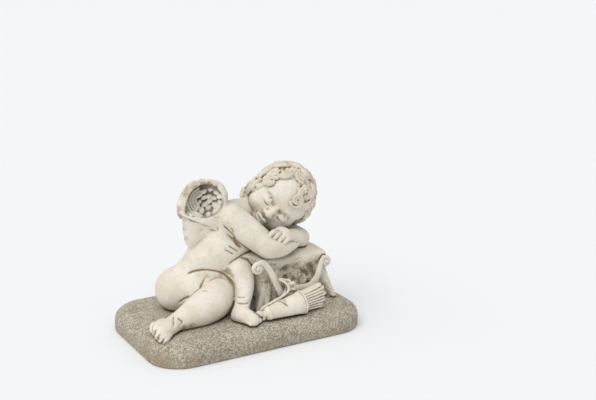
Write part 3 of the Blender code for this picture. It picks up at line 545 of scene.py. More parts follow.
def head_mass():
    """Skull, cheeks and jaw of a round-faced child, by common proportions."""
    clay = Clay()
    head_ball(clay, SKULL, SCALP, 4)
    head_ball(clay, (0, 14, 14), (44, 34, 36), 4)
    head_ball(clay, (0, 14, -12), (45, 33, 35), 4)
    for side in (-1, 1):
        head_ball(clay, (side * 21, 24, -22), (20, 20, 19))
        head_ball(clay, (side * 18, 4, -29), (22, 27, 21))
    head_ball(clay, (0, 23, -34), (22, 24, 18))
    head_ball(clay, (0, 35, -45), (12, 11, 10))
    head_ball(clay, (0, 0, -34), (34, 30, 22))
    return fused(clay.mesh(), *MASSES["head"])


def face_features(head):
    """Closed eyes, nose and mouth at common proportions, worked into the head's skin."""
    clay = Clay()
    for side in (-1, 1):
        head_ball(clay, (side * 18.5, 35.5, -5), (11.5, 12, 8.5))
        clay.limb(over_head([(8, 43.5, 8), (18, 44, 12), (30, 37.5, 9)], side), [4, 4.6, 4])
        head_ball(clay, (side * 6.4, 46.8, -17.6), (4.6, 4.8, 3.9))
        head_ball(clay, (side * 23, 30, -22), (15, 14, 13))
        upper_lip = over_head([(0, 49.5, -29.5), (5, 48.8, -28.8), (11, 44.5, -31)], side)
        clay.limb(upper_lip, [3.2, 3.4, 2.0])
        lower_lip = over_head([(0, 48.2, -35), (5, 47.2, -35), (9.5, 44, -33.5)], side)
        clay.limb(lower_lip, [3.9, 3.6, 2.2])
    clay.limb(over_head([(0, 41.5, 5), (0, 45, -6), (0, 49.5, -15.5)]), [6.4, 6.6, 7.2], 0.2)
    head_ball(clay, (0, 38, -47), (9, 9, 7.5))
    head = fused(joined(head, clay.mesh()), *MASSES["face"])
    for side in (-1, 1):
        dent(head, on_head(side * 8.5, 45, 0), (8, 8, 9), FACE_OUT * -3.0)
        lid = [(9, 45, -6.5), (14, 45, -9.5), (19, 45, -10.5), (25, 45, -9), (30, 45, -6)]
        groove(head, over_head(lid, side), 2.8, 2.4)
        groove(head, over_head([(10, 46, 0), (18, 46, 3.5), (27, 46, 2)], side), 2.8, 1.3)
        groove(head, over_head([(7.5, 49, -14), (10.5, 47, -18), (8.5, 46, -22)], side), 2.4, 1.3)
        dent(head, on_head(side * 4.0, 48.5, -21.5), (3.2, 4.2, 3.0), CROWN * 2.8)
        dent(head, on_head(side * 13, 44, -32), (4.5, 5, 4.5), FACE_OUT * -2.2)
    mouth = [(-12.5, 44, -31.8), (-6, 49, -32), (0, 50, -32.6), (6, 49, -32), (12.5, 44, -31.8)]
    groove(head, over_head(mouth), 2.6, 2.8)
    groove(head, over_head([(0, 50, -24), (0, 50, -27)]), 2.6, 1.2, False)
    dent(head, on_head(0, 47, -40.5), (11, 6, 4), FACE_OUT * -2.2)
    return head


def ear(clay, side):
    """An outer ear: a curled rim, an inner fold and a lobe on a low plate."""
    def at(y, z, out=0.0):
        return on_head(side * (49 + out), y + 6, z)

    rim = [at(2, -4, 1), at(3, 5, 2), at(-3, 11, 4), at(-11, 8, 6), at(-13, -2, 6), at(-8, -12, 4)]
    clay.limb(rim, [2.4, 2.8, 3.0, 3.0, 2.8, 2.8], 0.4, 2)
    inner = [at(-3, 5, 3), at(-8, 1, 4), at(-7, -6, 3), at(-2, -8, 2)]
    clay.limb(inner, [1.8, 2.2, 2.2, 1.8], 0.4, 2)
    head_ball(clay, (side * 51, 2, -14), (3.6, 4.4, 4.8))
    head_ball(clay, (side * 47, 1, -1), (4, 9, 12))


def toward(lon, lat):
    """The direction out of the skull, degrees round from the face and up, on the head's axes."""
    lon = math.radians(lon)
    lat = math.radians(lat)
    return vec((math.sin(lon) * math.cos(lat), math.cos(lon) * math.cos(lat), math.sin(lat)))


class Scalp:
    """The bare head's skin as distances from the skull's middle, for laying hair on."""

    def __init__(self, head):
        rel = positions(head) - on_head(*SKULL)
        self.reach = np.linalg.norm(rel, axis=1)
        self.ways = rel / self.reach[:, None]

    def at(self, d, out):
        """The place on the skin in direction d, raised by out."""
        way = unit(outward(d))
        out = out + NAPE_BULK * math.exp(-((1 - d @ toward(*NAPE)) / NAPE_SPREAD))
        return on_head(*SKULL) + way * (self.reach[np.argmax(self.ways @ way)] + out)


def outward(d):
    """A direction given on the head's axes, in the casting's."""
    return FACE_RIGHT * d[0] + FACE_OUT * d[1] + CROWN * d[2]


def has_hair(d, over):
    """Whether direction d lies behind the hairline by over degrees or more."""
    lon = math.degrees(math.atan2(d[0], d[1]))
    lat = math.degrees(math.asin(np.clip(d[2], -1, 1)))
    aside = over / max(math.cos(math.radians(lat)), 0.4)
    return all(
        lat - down > np.interp(lon + shift, *zip(*HAIRLINE))
        for shift, down in ((0, over), (aside, 0), (-aside, 0))
    )


def tangents(d):
    """Directions round the skull and down it, at right angles to d."""
    east = unit(np.cross(d, (0, 0, 1)))
    return east, np.cross(d, east)


def lock(clay, scalp, tip, heading, length, turn, width):
    """A lock of three strands that ends at tip and winds tighter as it runs."""
    whorl = toward(*WHORL)
    flow = unit(tip * (tip @ whorl) - whorl)
    lean = math.radians(heading)
    way = flow * math.cos(lean) + np.cross(tip, flow) * math.sin(lean)
    d = unit(tip - way * LOCK_BACK * length / HAIR_REACH)
    steps = 18
    trail = []
    for k in range(steps + 1):
        share = k / steps
        way = unit(way - d * (way @ d))
        trail.append((d, way, share))
        bend = math.radians(turn) * 2 * (share + 0.5 / steps) / steps
        way = way * math.cos(bend) + np.cross(d, way) * math.sin(bend)
        d = unit(d + way * length / steps / HAIR_REACH)
    for offset in (-1, 0, 1):
        points = []
        radii = []
        for d, way, share in trail[::2]:
            # The strands part and swell in the lock's middle, and the lock lifts off the scalp there.
            full = math.sin(math.pi * min(0.16 + 0.84 * share, 1.0)) ** 0.7
            across = outward(np.cross(way, d)) * offset * width * (0.12 + 0.44 * full)
            rise = 0.6 + 4.4 * math.sin(math.pi * min(0.08 + share * 0.75, 1.0)) + 1.6 * share
            points.append(scalp.at(d, rise - abs(offset) * 1.3) + across)
            radii.append(width * (0.20 + 0.19 * full))
        clay.strand(points, radii, outward(trail[steps // 2][0]), 1.0, 0.45)


def ringlet(clay, scalp, lon, lat, radius, start, sweep, width):
    """A lock wound round an open middle, of two strands."""
    d = toward(lon, lat)
    east, south = tangents(d)
    steps = 22
    for offset in (-0.5, 0.5):
        points = []
        radii = []
        for k in range(steps + 1):
            share = k / steps
            angle = math.radians(start + sweep * share)
            reach = radius * (1.0 - 0.66 * share) + offset * width * (1.15 - 0.5 * share)
            at = d + (east * math.cos(angle) + south * math.sin(angle)) * reach / HAIR_REACH
            points.append(scalp.at(unit(at), 4.4 + 2.6 * share + offset * 0.8))
            radii.append(width * (0.66 - 0.16 * share))
        clay.strand(points, radii, outward(d), 1.0, 0.4)


def hair(head):
    """A pad over the scalp, the ringlets, and locks laid wherever there is room, from the edge inwards."""
    clay = Clay()
    scalp = Scalp(head)
    for lon in range(-180, 180, 10):
        for lat in range(-60, 95, 10):
            d = toward(lon, lat)
            if has_hair(d, PAD_MARGIN):
                clay.ball(scalp.at(d, -PAD_SINK), PAD_RADIUS, level=2)
    taken = []
    for lon, lat, radius, start, sweep, width in RINGLETS:
        ringlet(clay, scalp, lon, lat, radius, start, sweep, width)
        taken.append((toward(lon, lat), RINGLET_ROOM))
    rng = np.random.default_rng(7)
    edge = []
    for (lon_a, lat_a), (lon_b, lat_b) in zip(HAIRLINE[:-1], HAIRLINE[1:]):
        for share in np.linspace(0, 1, 6, endpoint=False):
            lon = lon_a + (lon_b - lon_a) * share
            lat = lat_a + (lat_b - lat_a) * share
            for aside, up in ((0, 6), (7, 0), (-7, 0), (5, 5), (-5, 5)):
                edge.append(toward(lon + aside, lat + up))
    golden = math.pi * (3 - math.sqrt(5))
    for k in range(HAIR_SEEDS):
        z = 1 - 2 * (k + 0.5) / HAIR_SEEDS
        r = math.sqrt(1 - z * z)
        edge.append(vec((r * math.sin(golden * k), r * math.cos(golden * k), z)))
    for k, d in enumerate(edge):
        crowded = any(d @ other > math.cos(LOCK_APART * room) for other, room in taken)
        if crowded or not has_hair(d, LOCK_MARGIN):
            continue
        taken.append((d, 1.0))
        turn = (-1) ** len(taken) * rng.uniform(*LOCK_TURN)
        lean = rng.uniform(*LOCK_LEAN)
        length = rng.uniform(*LOCK_LENGTH)
        lock(clay, scalp, d, lean, length, turn, rng.uniform(*LOCK_WIDTH))
    ear(clay, -1)
    return clay


def hands(clay):
    """The left fingers over the right forearm. The right fist is tucked under the left arm."""
    clay.ball((70, -54, 142), (17, 11, 9), (unit((0.9, -0.1, -0.4)), (0, 1, 0), unit((0.4, 0, 0.9))))
    for k in range(4):
        share = k / 3
        tip = vec((34, -66, 143)) * (1 - share) + vec((62, -71, 127)) * share
        knuckle = tip + vec((16, 8, 4))
        middle = (tip + knuckle) / 2 + vec((0, -2, 2.5))
        clay.limb([knuckle, middle, tip], [5.0, 4.7, 3.9], 0.3)


def feet(clay):
    """Toes of both feet. The right ones hang over the plinth's rounded edge."""
    clay.limb([(-164, -74, 13), (-178, -79, 10), (-186, -82, 7)], [15, 14.5, 11], 0.3)
    clay.limb([(-188, -62, 11), (-188, -74, 9), (-185, -84, 3), (-182, -92, -3)], [10.5, 11, 10, 8], 0.3)
    instep_axes = (unit((-38, -12, -8)), unit((12, -38, -12)), (-0.2, -0.25, 0.95))
    clay.ball((-178, -70, 14), (17, 15, 11), instep_axes)
    for tip, size in RIGHT_TOES:
        toe = [vec(tip) + vec((9, 5, 3)), vec(tip) + vec((3, 1, 1.5)), vec(tip)]
        clay.limb(toe, [size * 0.95, size, size * 0.95], 0.3)
    for k in range(5):
        share = k / 4
        tip = vec((-32, -117, 4.5)) * (1 - share) + vec((-13, -111, 6)) * share
        size = (4.0, 4.3, 4.6, 5.0, 6.0)[k]
        clay.limb([tip + vec((-3, 10, 3)), tip], [size * 1.1, size * 0.95], 0.3)


def wing_point(a, b, c, side):
    """A point of a wing by its own axes: across, up and out. The left wing mirrors the right."""
    depth = c if side > 0 else -WING_GAP - c
    return vec(WING) + WING_ACROSS * a + WING_UP * b + WING_OUT * depth


def bowl_reach(a, b):
    """How far out in a wing's hollow a place lies: 0 at the middle and 1 at the rim."""
    return np.hypot((a - BOWL[0]) / BOWL[2], (b - BOWL[1]) / BOWL[3])


def bowl(a, b):
    """Depth of a wing's hollow at a place across and up it."""
    low, rise, late = BED
    return low + rise * np.minimum(bowl_reach(a, b), 1.0) ** late


def wing(side):
    """A cupped wing: a broad rim, rows of scale feathers inside and long ones at the edge."""
    clay = Clay()
    out = WING_OUT * side

    def at(a, b, c):
        return wing_point(a, b, c, side)

    rim = [(42, -10, -10), (43, 6, -5), (41, 21, -1), (34, 34, 0), (20, 41, 0), (0, 40, 1), (-17, 31, 1),
           (-28, 17, 2), (-33, 0, 3), (-34, -13, 3), (-32, -22, 2)]
    rim_radii = [4.5, 4.2, 4.2, 4.6, 5.2, 5.8, 6.8, 8.2, 8.6, 7.6, 5.5]
    clay.strand([at(*p) for p in rim], rim_radii, out, 0.62, 0.25, 3)
    for k in range(9):
        angle = math.radians(38 + 19 * k)
        a = 5 + 39 * math.cos(angle)
        b = 4 + 39.5 * math.sin(angle)
        round_rim = WING_ACROSS * -math.sin(angle) + WING_UP * math.cos(angle)
        off_middle = WING_ACROSS * math.cos(angle) + WING_UP * math.sin(angle)
        clay.ball(at(a, b, 0.5), (6.5, 4.4, 4.0), (round_rim, off_middle, out))
    bed_step = 5
    bed_radius = 6.5
    for row in range(-7, 8):
        for col in range(-8, 9):
            a = bed_step * col
            b = bed_step * row
            if math.hypot((a - 6) / 39, (b - 5) / 37) < 1 and b > -30 - a * 0.25:
                clay.ball(at(a, b, bowl(a, b) - bed_radius), bed_radius, level=2)
    axes = (WING_ACROSS, WING_UP, out)
    clay.ball(at(12, -31, -15), (26, 14, 11), axes, 4)
    clay.ball(at(34, -14, -17), (13, 22, 11), axes, 4)
    clay.strand([at(*p) for p in LIP], [3.0, 3.2, 3.2, 2.6], WING_UP, 0.8, 0.3, 3)
    flap = [at(*p) for p in ((-13, -31, -10), (-17, -48, -15), (-20, -64, -18), (-21, -71, -19))]
    clay.strand(flap, [21, 16.5, 10.5, 6.5], out, 0.34, 0.2, 3)
    clay.limb([at(6, -46, -22), at(-8, -60, -26), at(-18, -74, -27)], [12, 10, 6])
    clay = fused(clay.mesh(), *MASSES["wing"])
    feathers = Clay()
    row_across, row_up = 0.88, 0.47
    along_row = unit(WING_ACROSS * row_across + WING_UP * row_up)
    tip_way = unit(WING_ACROSS * -0.50 - WING_UP * 0.84 + out * 0.30)
    face = np.cross(along_row, tip_way)
    axes = (unit(np.cross(tip_way, face)), tip_way, face)
    feather_apart, row_apart = 12.6, 10.2
    rng = np.random.default_rng(5)
    for row in range(-4, 4):
        for col in range(-3, 4):
            run = feather_apart * (col + 0.5 * (row % 2)) + rng.uniform(-2.4, 2.4)
            fall = row_apart * row + rng.uniform(-2.0, 2.0)
            a = 15 + run * row_across - fall * row_up
            b = 6 + run * row_up + fall * row_across
            if math.hypot((a - 14) / 29, (b - 9) / 28) > 1 or b < -18 - a * 0.3:
                continue
            swell = rng.uniform(0.80, 1.10)
            rise = rng.uniform(0.4, 2.6)
            feathers.ball(at(a, b, bowl(a, b) + rise), (6.4 * swell, 7.8 * swell, 4.4), axes)
    for k in range(4):
        arc = []
        for step in range(8):
            angle = math.radians(112 + 18 * step)
            a = BOWL[0] + (31 - 5.0 * k) * math.cos(angle)
            b = BOWL[1] + (28 - 4.6 * k) * math.sin(angle)
            arc.append(at(a, b, bowl(a, b) + 2.8))
        feathers.strand(arc, [1.4, 1.6, 1.8, 1.9, 1.9, 1.8, 1.7, 1.4], out, 1.3, 0.3)
    return joined(clay, feathers.mesh())


def bow(clay):
    """A flat bow with scrolled ends that leans on the rock, tied by a ribbon at its grip."""
    faces = (0.15, -1, 0.25)
    left = [(50, -78, 35), (47, -77, 44), (39, -74, 63), (31, -73, 79), (23, -74, 91), (13, -76, 98),
            (4, -77, 98)]
    clay.strand(left, [7.0, 7.0, 7.0, 6.6, 6.2, 5.2, 4.2], faces, 0.46, 0.2, 3)
    right = [(66, -76, 40), (83, -76, 37), (104, -73, 34), (120, -69, 35), (132, -66, 43), (142, -61, 56),
             (151, -55, 72), (157, -52, 79)]
    clay.strand(right, [6.0, 7.2, 7.4, 7.6, 7.0, 6.4, 5.2, 4.2], faces, 0.46, 0.2, 3)
    for middle, start, way in (((3, -78, 89), 75, 1), ((163, -50, 69), 125, -1)):
        turn = []
        for step in range(12):
            angle = math.radians(start + way * 44 * step)
            reach = 9.8 - 0.78 * step
            turn.append((middle[0] + reach * math.cos(angle), middle[1] - 0.35 * step,
                         middle[2] + reach * math.sin(angle)))
        clay.limb(turn, [3.8, 4.0, 4.0, 3.8, 3.6, 3.4, 3.2, 3.0, 2.8, 2.6, 2.6, 3.0], 0.35, 2)
    knot_axes = (unit((0.9, -0.3, 0.1)), unit((0.3, 0.95, 0)), (0, 0, 1))
    for centre, size in (
        ((71, -81, 51), (12, 9, 5)), ((72, -81, 40), (13, 9, 4.5)),
        ((66, -79, 46), (5, 8, 13)), ((77, -80, 45), (4, 8, 12)),
    ):
        clay.box(centre, size, knot_axes, 1.6)
    clay.ball((71, -78, 45), (8, 5, 8))
    ribbon = [(47, -80, 62), (55, -85, 57), (61, -88, 48), (59, -90, 41), (50, -92, 36), (37, -94, 32),
              (21, -96, 28), (5, -96, 22), (-4, -95, 12)]
    clay.strand(ribbon, [2.4, 2.8, 3.0, 2.8, 2.6, 2.6, 2.6, 2.6, 2.2], (0, -0.3, 1), 0.75, 0.3, 2)
    clay.limb([(51, -79, 62), (60, -80, 59), (68, -80, 56)], [2.4, 2.6, 2.6], 0.4, 2)
    clay.strand([(56, -84, 40), (44, -88, 26), (36, -92, 14), (33, -95, 4)], [2.4, 3.4, 3.8, 3.0],
                (0, -1, 0.3), 0.5, 0.3, 2)


def quiver(clay):
    """A tapered case on its side with a rimmed mouth, a knob, and the flights of its arrows."""
    foot = vec((6, -107, 13))
    mouth = vec((79, -104, 20))
    axis = unit(mouth - foot)
    side = unit(np.cross(axis, (0, 0, 1)))
    top = np.cross(side, axis)
    axes = (side, top, axis)
    bm = bmesh.new()
    long = np.linalg.norm(mouth - foot)
    bmesh.ops.create_cone(bm, cap_ends=True, segments=64, radius1=11.0, radius2=20.5, depth=long)
    clay.take(bm, (foot + mouth) / 2, axes)
    for back, lift, radii in (
        (0, 0.0, (11.0, 11.0, 5)), (7, 1.0, (6.5, 6.5, 6)), (15, 4.5, (6.5, 5.6, 8.5)),
        (22, 5.5, (4.5, 4.4, 5)), (9, -6.5, (5.0, 3.6, 5)),
    ):
        clay.ball(foot - axis * back + top * lift, radii, axes)
    for reach, radius, thick in ((0, 20.6, 1.7), (-4.5, 20.0, 1.1), (-long + 3, 11.2, 1.6)):
        ring = [mouth + axis * reach + (side * math.cos(t) + top * math.sin(t)) * radius
                for t in np.linspace(0, 2 * math.pi, 33)]
        clay.limb(ring, thick, 0.5, 2)
    clay.ball(mouth, (17, 17, 10), axes)
    ribs = 8
    for k in range(ribs):
        share = k / (ribs - 1)
        root = mouth + top * (16 - 30 * share) + side * (3 * math.sin(math.pi * share) - 2)
        reach = 36 + 8 * math.sin(math.pi * (0.15 + 0.8 * share)) + (1.8 if k % 2 else -1.2)
        tip = root + axis * reach + top * (7 - 12 * share) + side * (2 - 3 * share)
        rib = [root - axis * 4, (root + tip) / 2, tip]
        clay.strand(rib, [6.5, 7.0, 6.6], side * 0.15 + top, 0.36, 0.25, 3)
    clay.ball(mouth + axis * 16 - side * 2, (15, 6, 26), (top, side, axis))


def tumbled(rng):
    """Three axes turned by chance."""
    turn = unit(rng.normal(size=3))
    across = unit(np.cross(turn, (0.3, 0.2, 0.9)))
    return turn, across, np.cross(turn, across)


def rock():
    """A broken boulder under the arms: a smooth top ledge over a rough hollow front."""
    clay = Clay()
    level = ((1, 0, 0), (0, 1, 0), (0, 0, 1))
    clay.box((102, 6, 36), (124, 84, 96), level, 16)
    clay.box((102, -3, 80), (136, 96, 24), level, 11)
    clay.ball((60, -8, 80), (46, 46, 21))
    clay.ball((122, -10, 81), (50, 46, 21))
    clay.ball((16, -14, 92), (34, 34, 12))
    clay = fused(clay.mesh(), *MASSES["boulder"])
    rough = Clay()
    rng = np.random.default_rng(11)
    for _ in range(60):
        x = rng.uniform(44, 166)
        z = rng.uniform(0, 76)
        size = rng.uniform(7, 13)
        axes = tumbled(rng)
        rough.ball((x, -39 - rng.uniform(0, 3.5), z), (size, size * 0.5, size * 0.9), axes)
    for _ in range(30):
        y = rng.uniform(-30, 46)
        z = rng.uniform(2, 78)
        size = rng.uniform(8, 13)
        rough.ball((160 + rng.uniform(-1, 3), y, z), (size * 0.7, size, size))
    for _ in range(46):
        x = rng.uniform(46, 158)
        z = rng.uniform(2, 84)
        size = rng.uniform(11, 18)
        y = 51 - size * 0.4 - abs(x - 102) * 0.12
        rough.ball((x, y, z), (size, size * 0.6, size * 0.85), tumbled(rng))
    rough.limb([(32, -36, 84), (30, -42, 50), (28, -48, 20), (24, -54, 4)], [16, 13, 12, 14])
    rough.limb([(50, -40, 50), (48, -50, 22), (50, -58, 4)], [11, 9, 9])
    rough.limb([(158, -30, 56), (166, -44, 28), (175, -60, 3)], [13, 9, 6])
    rough.strand([(-10, -26, 103), (14, -34, 100), (40, -44, 92), (60, -46, 88)], [13, 14, 14, 12],
                 (0.2, -0.3, 1), 0.4, 0.3, 3)
    rough.limb([(36, -52, 40), (30, -60, 18), (24, -66, 5)], [8, 8, 7])
    rough.limb([(30, -52, 40), (20, -60, 20), (12, -66, 6)], [8, 7, 7])
    return fused(joined(clay, rough.mesh()), *MASSES["rock"])


def plinth_block():
    """The pillow-shaped plinth, a little deeper than its height so that it can be cut flat."""
    spare = 4.0
    dome = mm(PLINTH_DOME)
    foot = mm(PLINTH_FOOT_ROUND)
    top = mm(PLINTH_TOP_ROUND)
    height = mm(PLINTH_HEIGHT) - dome
    bm = bmesh.new()
    bmesh.ops.create_cube(bm, size=1.0)
    bmesh.ops.scale(bm, vec=(mm(PLINTH_LENGTH), mm(PLINTH_WIDTH), height), verts=bm.verts)
    bmesh.ops.translate(bm, vec=(0, 0, -dome - height / 2), verts=bm.verts)
    upright = [edge for edge in bm.edges if abs(edge.verts[0].co.z - edge.verts[1].co.z) > 1]
    round_edges(bm, upright, mm(PLINTH_CORNER_RADIUS))
    round_edges(bm, level_edges(bm, -dome), top)
    round_edges(bm, level_edges(bm, -dome - height), foot)
    cover = max(bm.faces, key=lambda face: face.calc_center_median().z)
    inset = mm(PLINTH_CORNER_RADIUS) * 0.97 - top
    bmesh.ops.inset_region(bm, faces=[cover], thickness=inset, depth=dome)
    sole = min(bm.faces, key=lambda face: face.calc_center_median().z)
    bmesh.ops.inset_region(bm, faces=[sole], thickness=0.5, depth=spare)
    out = bpy.data.meshes.new("plinth")
    bm.to_mesh(out)
    bm.free()
    return out


def level_edges(bm, z):
    """The edges that lie at height z."""
    return [edge for edge in bm.edges if all(abs(vert.co.z - z) < 1e-3 for vert in edge.verts)]


def round_edges(bm, edges, radius):
    """Rounds the edges off by that radius."""
    bmesh.ops.bevel(
        bm, geom=edges, offset=radius, segments=12, profile=0.5, affect="EDGES", clamp_overlap=False
    )


# The finer skins: voxel and smoothing rounds of each piece, and the most triangles it may have.
COARSE = 1.0
SKINS = {
    "child": (1.25, 2),
    "curls": (0.9, 3),
    "rock": (1.2, 1),
    "emblems": (0.9, 1),
    "plinth": (1.3, 0),
}
MOST_TRIANGLES = 195000

# A closed shell with fewer vertices than this is a crumb left by the fusing.
CRUMB = 400

# How strongly dirt and painted shade gather in the small and in the wide hollows of each piece.
FINE_HOLLOW = {"child": 1.2, "curls": 1.3, "rock": 1.0, "emblems": 2.0, "plinth": 0.8}
BROAD_HOLLOW = {"child": 1.0, "curls": 1.7, "rock": 1.0, "emblems": 1.5, "plinth": 0.8}

# Sizes of the grains on the plinth and on the rock's broken front, coarse and fine.
PLINTH_GRAINS = (2.9, 1.7)
ROCK_GRAINS = (4.2, 2.3)

# Rounds of averaging that find the small and the wide hollows.
FINE_ROUNDS = 6
BROAD_ROUNDS = 60

# Where the wings grow out of the back: how far the softening reaches, and its rounds.
BLEND = 9.0
BLEND_ROUNDS = 40

# The casting's light map: cell of the grid, voxel of the skin that is sampled, rays, and reach.
LIGHT_CELL = 4.0
LIGHT_VOXEL = 4.2
LIGHT_RAYS = 20
LIGHT_REACH = 90.0

# Painted shade where the skins meet: cell of the grid, and how little the hairline counts.
CONTACT_CELL = 2.0
HAIRLINE_SHARE = 0.3

# Unevenness of each skin: layers of noise, each with its size, its seed and its height.
UNEVEN = {
    "child": ((11, 8, 0.22), (4.5, 9, 0.10)),
    "curls": ((14, 70, 1.3), (7, 71, 0.9), (3.8, 72, 0.25)),
    "emblems": ((9, 81, 0.4), (3.5, 82, 0.2)),
}

# Each stone: colours as screen values from 0 to 255, the share of dirt and painted shade in its hollows,
# speckles, and grain with its painted shade and highlight.
STONES = {
    "pale_stone": dict(
        light=(228, 221, 208), warm=(217, 207, 189), grey=(184, 178, 165), dirt_and_shade=(134, 112, 82),
    ),
    "pale_stone_curls": dict(
        light=(220, 211, 195), warm=(206, 193, 172), grey=(178, 170, 154), dirt_and_shade=(118, 97, 70),
        dirt_and_shade_share=1.0, speckles=0.3,
    ),
    "rough_stone": dict(
        light=(228, 221, 204), warm=(214, 204, 184), grey=(178, 170, 154), dirt_and_shade=(124, 108, 84),
        dirt_and_shade_share=0.62, speckles=0.4, grain=0.55, gaps=(158, 145, 121), tips=(236, 230, 216), height=0.0006,
    ),
    "stippled_stone": dict(
        light=(188, 180, 164), warm=(176, 166, 148), grey=(166, 158, 144), dirt_and_shade=(112, 98, 78),
        dirt_and_shade_share=0.5, speckles=0.3, grain=0.85, gaps=(118, 108, 91), tips=(220, 215, 203), height=0.0006,
    ),
}
# Painted shade between the wing feathers.
FEATHER_SHADE_GREY = (74, 75, 70)
CREASE_BROWN = (136, 114, 84)
# Painted shade where the pieces meet.
CONTACT_SHADE_BROWN = (96, 88, 70)
STAIN_BROWN = (150, 126, 94)

# The name and the stone of the piece that each skin becomes.
PIECES = {
    "child": ("sleeping_child", "pale_stone"),
    "curls": ("curls", "pale_stone_curls"),
    "rock": ("rock", "rough_stone"),
    "emblems": ("bow_and_quiver", "pale_stone"),
    "plinth": ("plinth", "stippled_stone"),
}

# The studio: floor, sky, and lamps with their direction, power and spread in degrees.
FLOOR_SIZE = 30.0
FLOOR_COLOUR = (0.86, 0.865, 0.875, 1.0)
SKY_COLOUR = (0.97, 0.985, 1.0, 1.0)
SKY_POWER = 0.60
LAMPS = (
    ("key", (0.37, 0.34, -0.85), 1.5, 55),
    ("side", (0.80, -0.10, -0.50), 0.45, 70),
)

# The camera: its place in metres, its turn in degrees, and its lens and sensor in millimetres.
CAMERA_PLACE = (-0.782, -1.569, 0.705)
CAMERA_TURN = (75.24, 0, -30.23)
CAMERA_LENS = 60
CAMERA_SENSOR = 36

# Stains: the place in drawn millimetres, radius, and strength.
STAINS = [
    ((-39, -42, 81), 9.0, 0.9),
    ((-47, -36, 79), 8.0, 0.7),
    ((-32, -46, 74), 7.0, 0.7),
    ((-8, -106, 16), 8.0, 0.9),
    ((-16, -110, 14), 6.0, 0.7),
    ((-110, 7, 196), 7.0, 0.6),
    ((-110, 4, 183), 8.0, 0.9),
    ((-94, 9, 223), 9.0, 0.6),
    ((-78, 6, 235), 9.0, 0.6),
    ((-60, -4, 236), 11.0, 0.85),
    ((-101, 10, 156), 5.0, 0.6),
    ((-97, 7, 138), 6.0, 0.6),
    ((-197, -80, 8), 6.0, 0.8),
    ((-194, -90, 2), 5.0, 0.8),
    ((-129, -80, 7), 9.0, 0.7),
    ((-142, -80, 8), 8.0, 0.8),
    ((-200, -112, -28), 26.0, 0.55),
    ((-212, -70, -26), 24.0, 0.5),
    ((-195, -60, -4), 16.0, 0.35),
    ((-150, -136, -34), 20.0, 0.3),
    ((40, -110, 31), 5.0, 0.5),
    ((120, -36, 90), 9.0, 0.4),
]

# Brown marks across the quiver: a line and half its width.
BANDS = [([(33, -104, 30), (38, -116, 29), (43, -123, 22), (44, -126, 15)], 2.6)]


def corners(part):
    """The eight corners of a cell, each with its share at the places within the cell."""
    for corner in range(8):
        step = np.array([(corner >> k) & 1 for k in range(3)])
        yield step, np.prod(np.where(step, part, 1 - part), axis=1)


class Field:
    """Values spread over a grid of cells round the casting, read back at any place."""

    def __init__(self, cell):
        self.cell = cell
        self.low = vec((-230, -160, -60))
        self.shape = tuple(int(n) for n in np.ceil((vec((230, 160, 290)) - self.low) / cell))
        self.sum = np.zeros(self.shape, dtype=np.float32)
        self.weight = np.zeros(self.shape, dtype=np.float32)

    def index(self, co):
        at = ((co - self.low) / self.cell).astype(int)
        return tuple(np.clip(at, 0, vec(self.shape) - 1).astype(int).T)

    def add(self, co, values):
        where = np.ravel_multi_index(self.index(co), self.shape)
        self.sum += np.bincount(where, values, self.sum.size).reshape(self.shape)
        self.weight += np.bincount(where, minlength=self.sum.size).reshape(self.shape)

    def blurred(self, grid, rounds):
        for _ in range(rounds):
            for axis in range(3):
                grid = (np.roll(grid, 1, axis) + 2 * grid + np.roll(grid, -1, axis)) / 4
        return grid

    def read(self, grid, co):
        """The grid's value at each place, blended between the eight cells round it."""
        at = (co - self.low) / self.cell - 0.5
        base = np.floor(at).astype(int)
        out = np.zeros(len(co))
        for step, share in corners(at - base):
            where = tuple(np.clip(base + step, 0, vec(self.shape).astype(int) - 1).T)
            out += share * grid[where]
        return out


def hashed(cells, seed):
    """A number from 0 to 1 for each whole-numbered cell."""
    x, y, z = (cells[..., k].astype(np.uint32) for k in range(3))
    h = x * np.uint32(374761393) + y * np.uint32(668265263) + z * np.uint32(2147483647)
    h = h + np.uint32(seed * 974711)
    h = (h ^ (h >> np.uint32(13))) * np.uint32(1274126177)
    h = (h ^ (h >> np.uint32(16))) * np.uint32(2246822519)
    return ((h ^ (h >> np.uint32(15))) & np.uint32(0xFFFFFF)).astype(float) / 0xFFFFFF


def noise(co, size, seed):
    """Smooth noise from -1 to 1 with bumps of about that size."""
    at = co / size
    base = np.floor(at).astype(np.int64)
    part = at - base
    part = part * part * (3 - 2 * part)
    out = np.zeros(len(co))
    for step, share in corners(part):
        out += share * hashed(base + step, seed)
    return out * 2 - 1


def layered(co, *layers):
    """Layers of noise added up, each given by its size, its seed and its height."""
    return sum(noise(co, size, seed) * height for size, seed, height in layers)


def grains(co, size, seed):
    """Rounded grains: 1 at the middle of each and falling to 0 between them, and each one's own number."""
    at = co / size
    base = np.floor(at).astype(np.int64)
    best = np.full(len(co), 9.0)
    own = np.zeros(len(co))
    for x in (-1, 0, 1):
        for y in (-1, 0, 1):
            for z in (-1, 0, 1):
                cell = base + np.array((x, y, z))
                place = cell + np.stack([hashed(cell, seed + k) for k in range(3)], axis=1)
                d = np.linalg.norm(at - place, axis=1)
                nearer = d < best
                best = np.where(nearer, d, best)
                own = np.where(nearer, hashed(cell, seed + 7), own)
    return np.clip(1 - best / 0.85, 0, 1), own


def thinned(mesh, most):
    """The mesh brought under a number of triangles."""
    triangles = 2 * len(mesh.polygons)
    if triangles <= most:
        return mesh
    return worked(mesh, ("DECIMATE", {"ratio": most / triangles}))


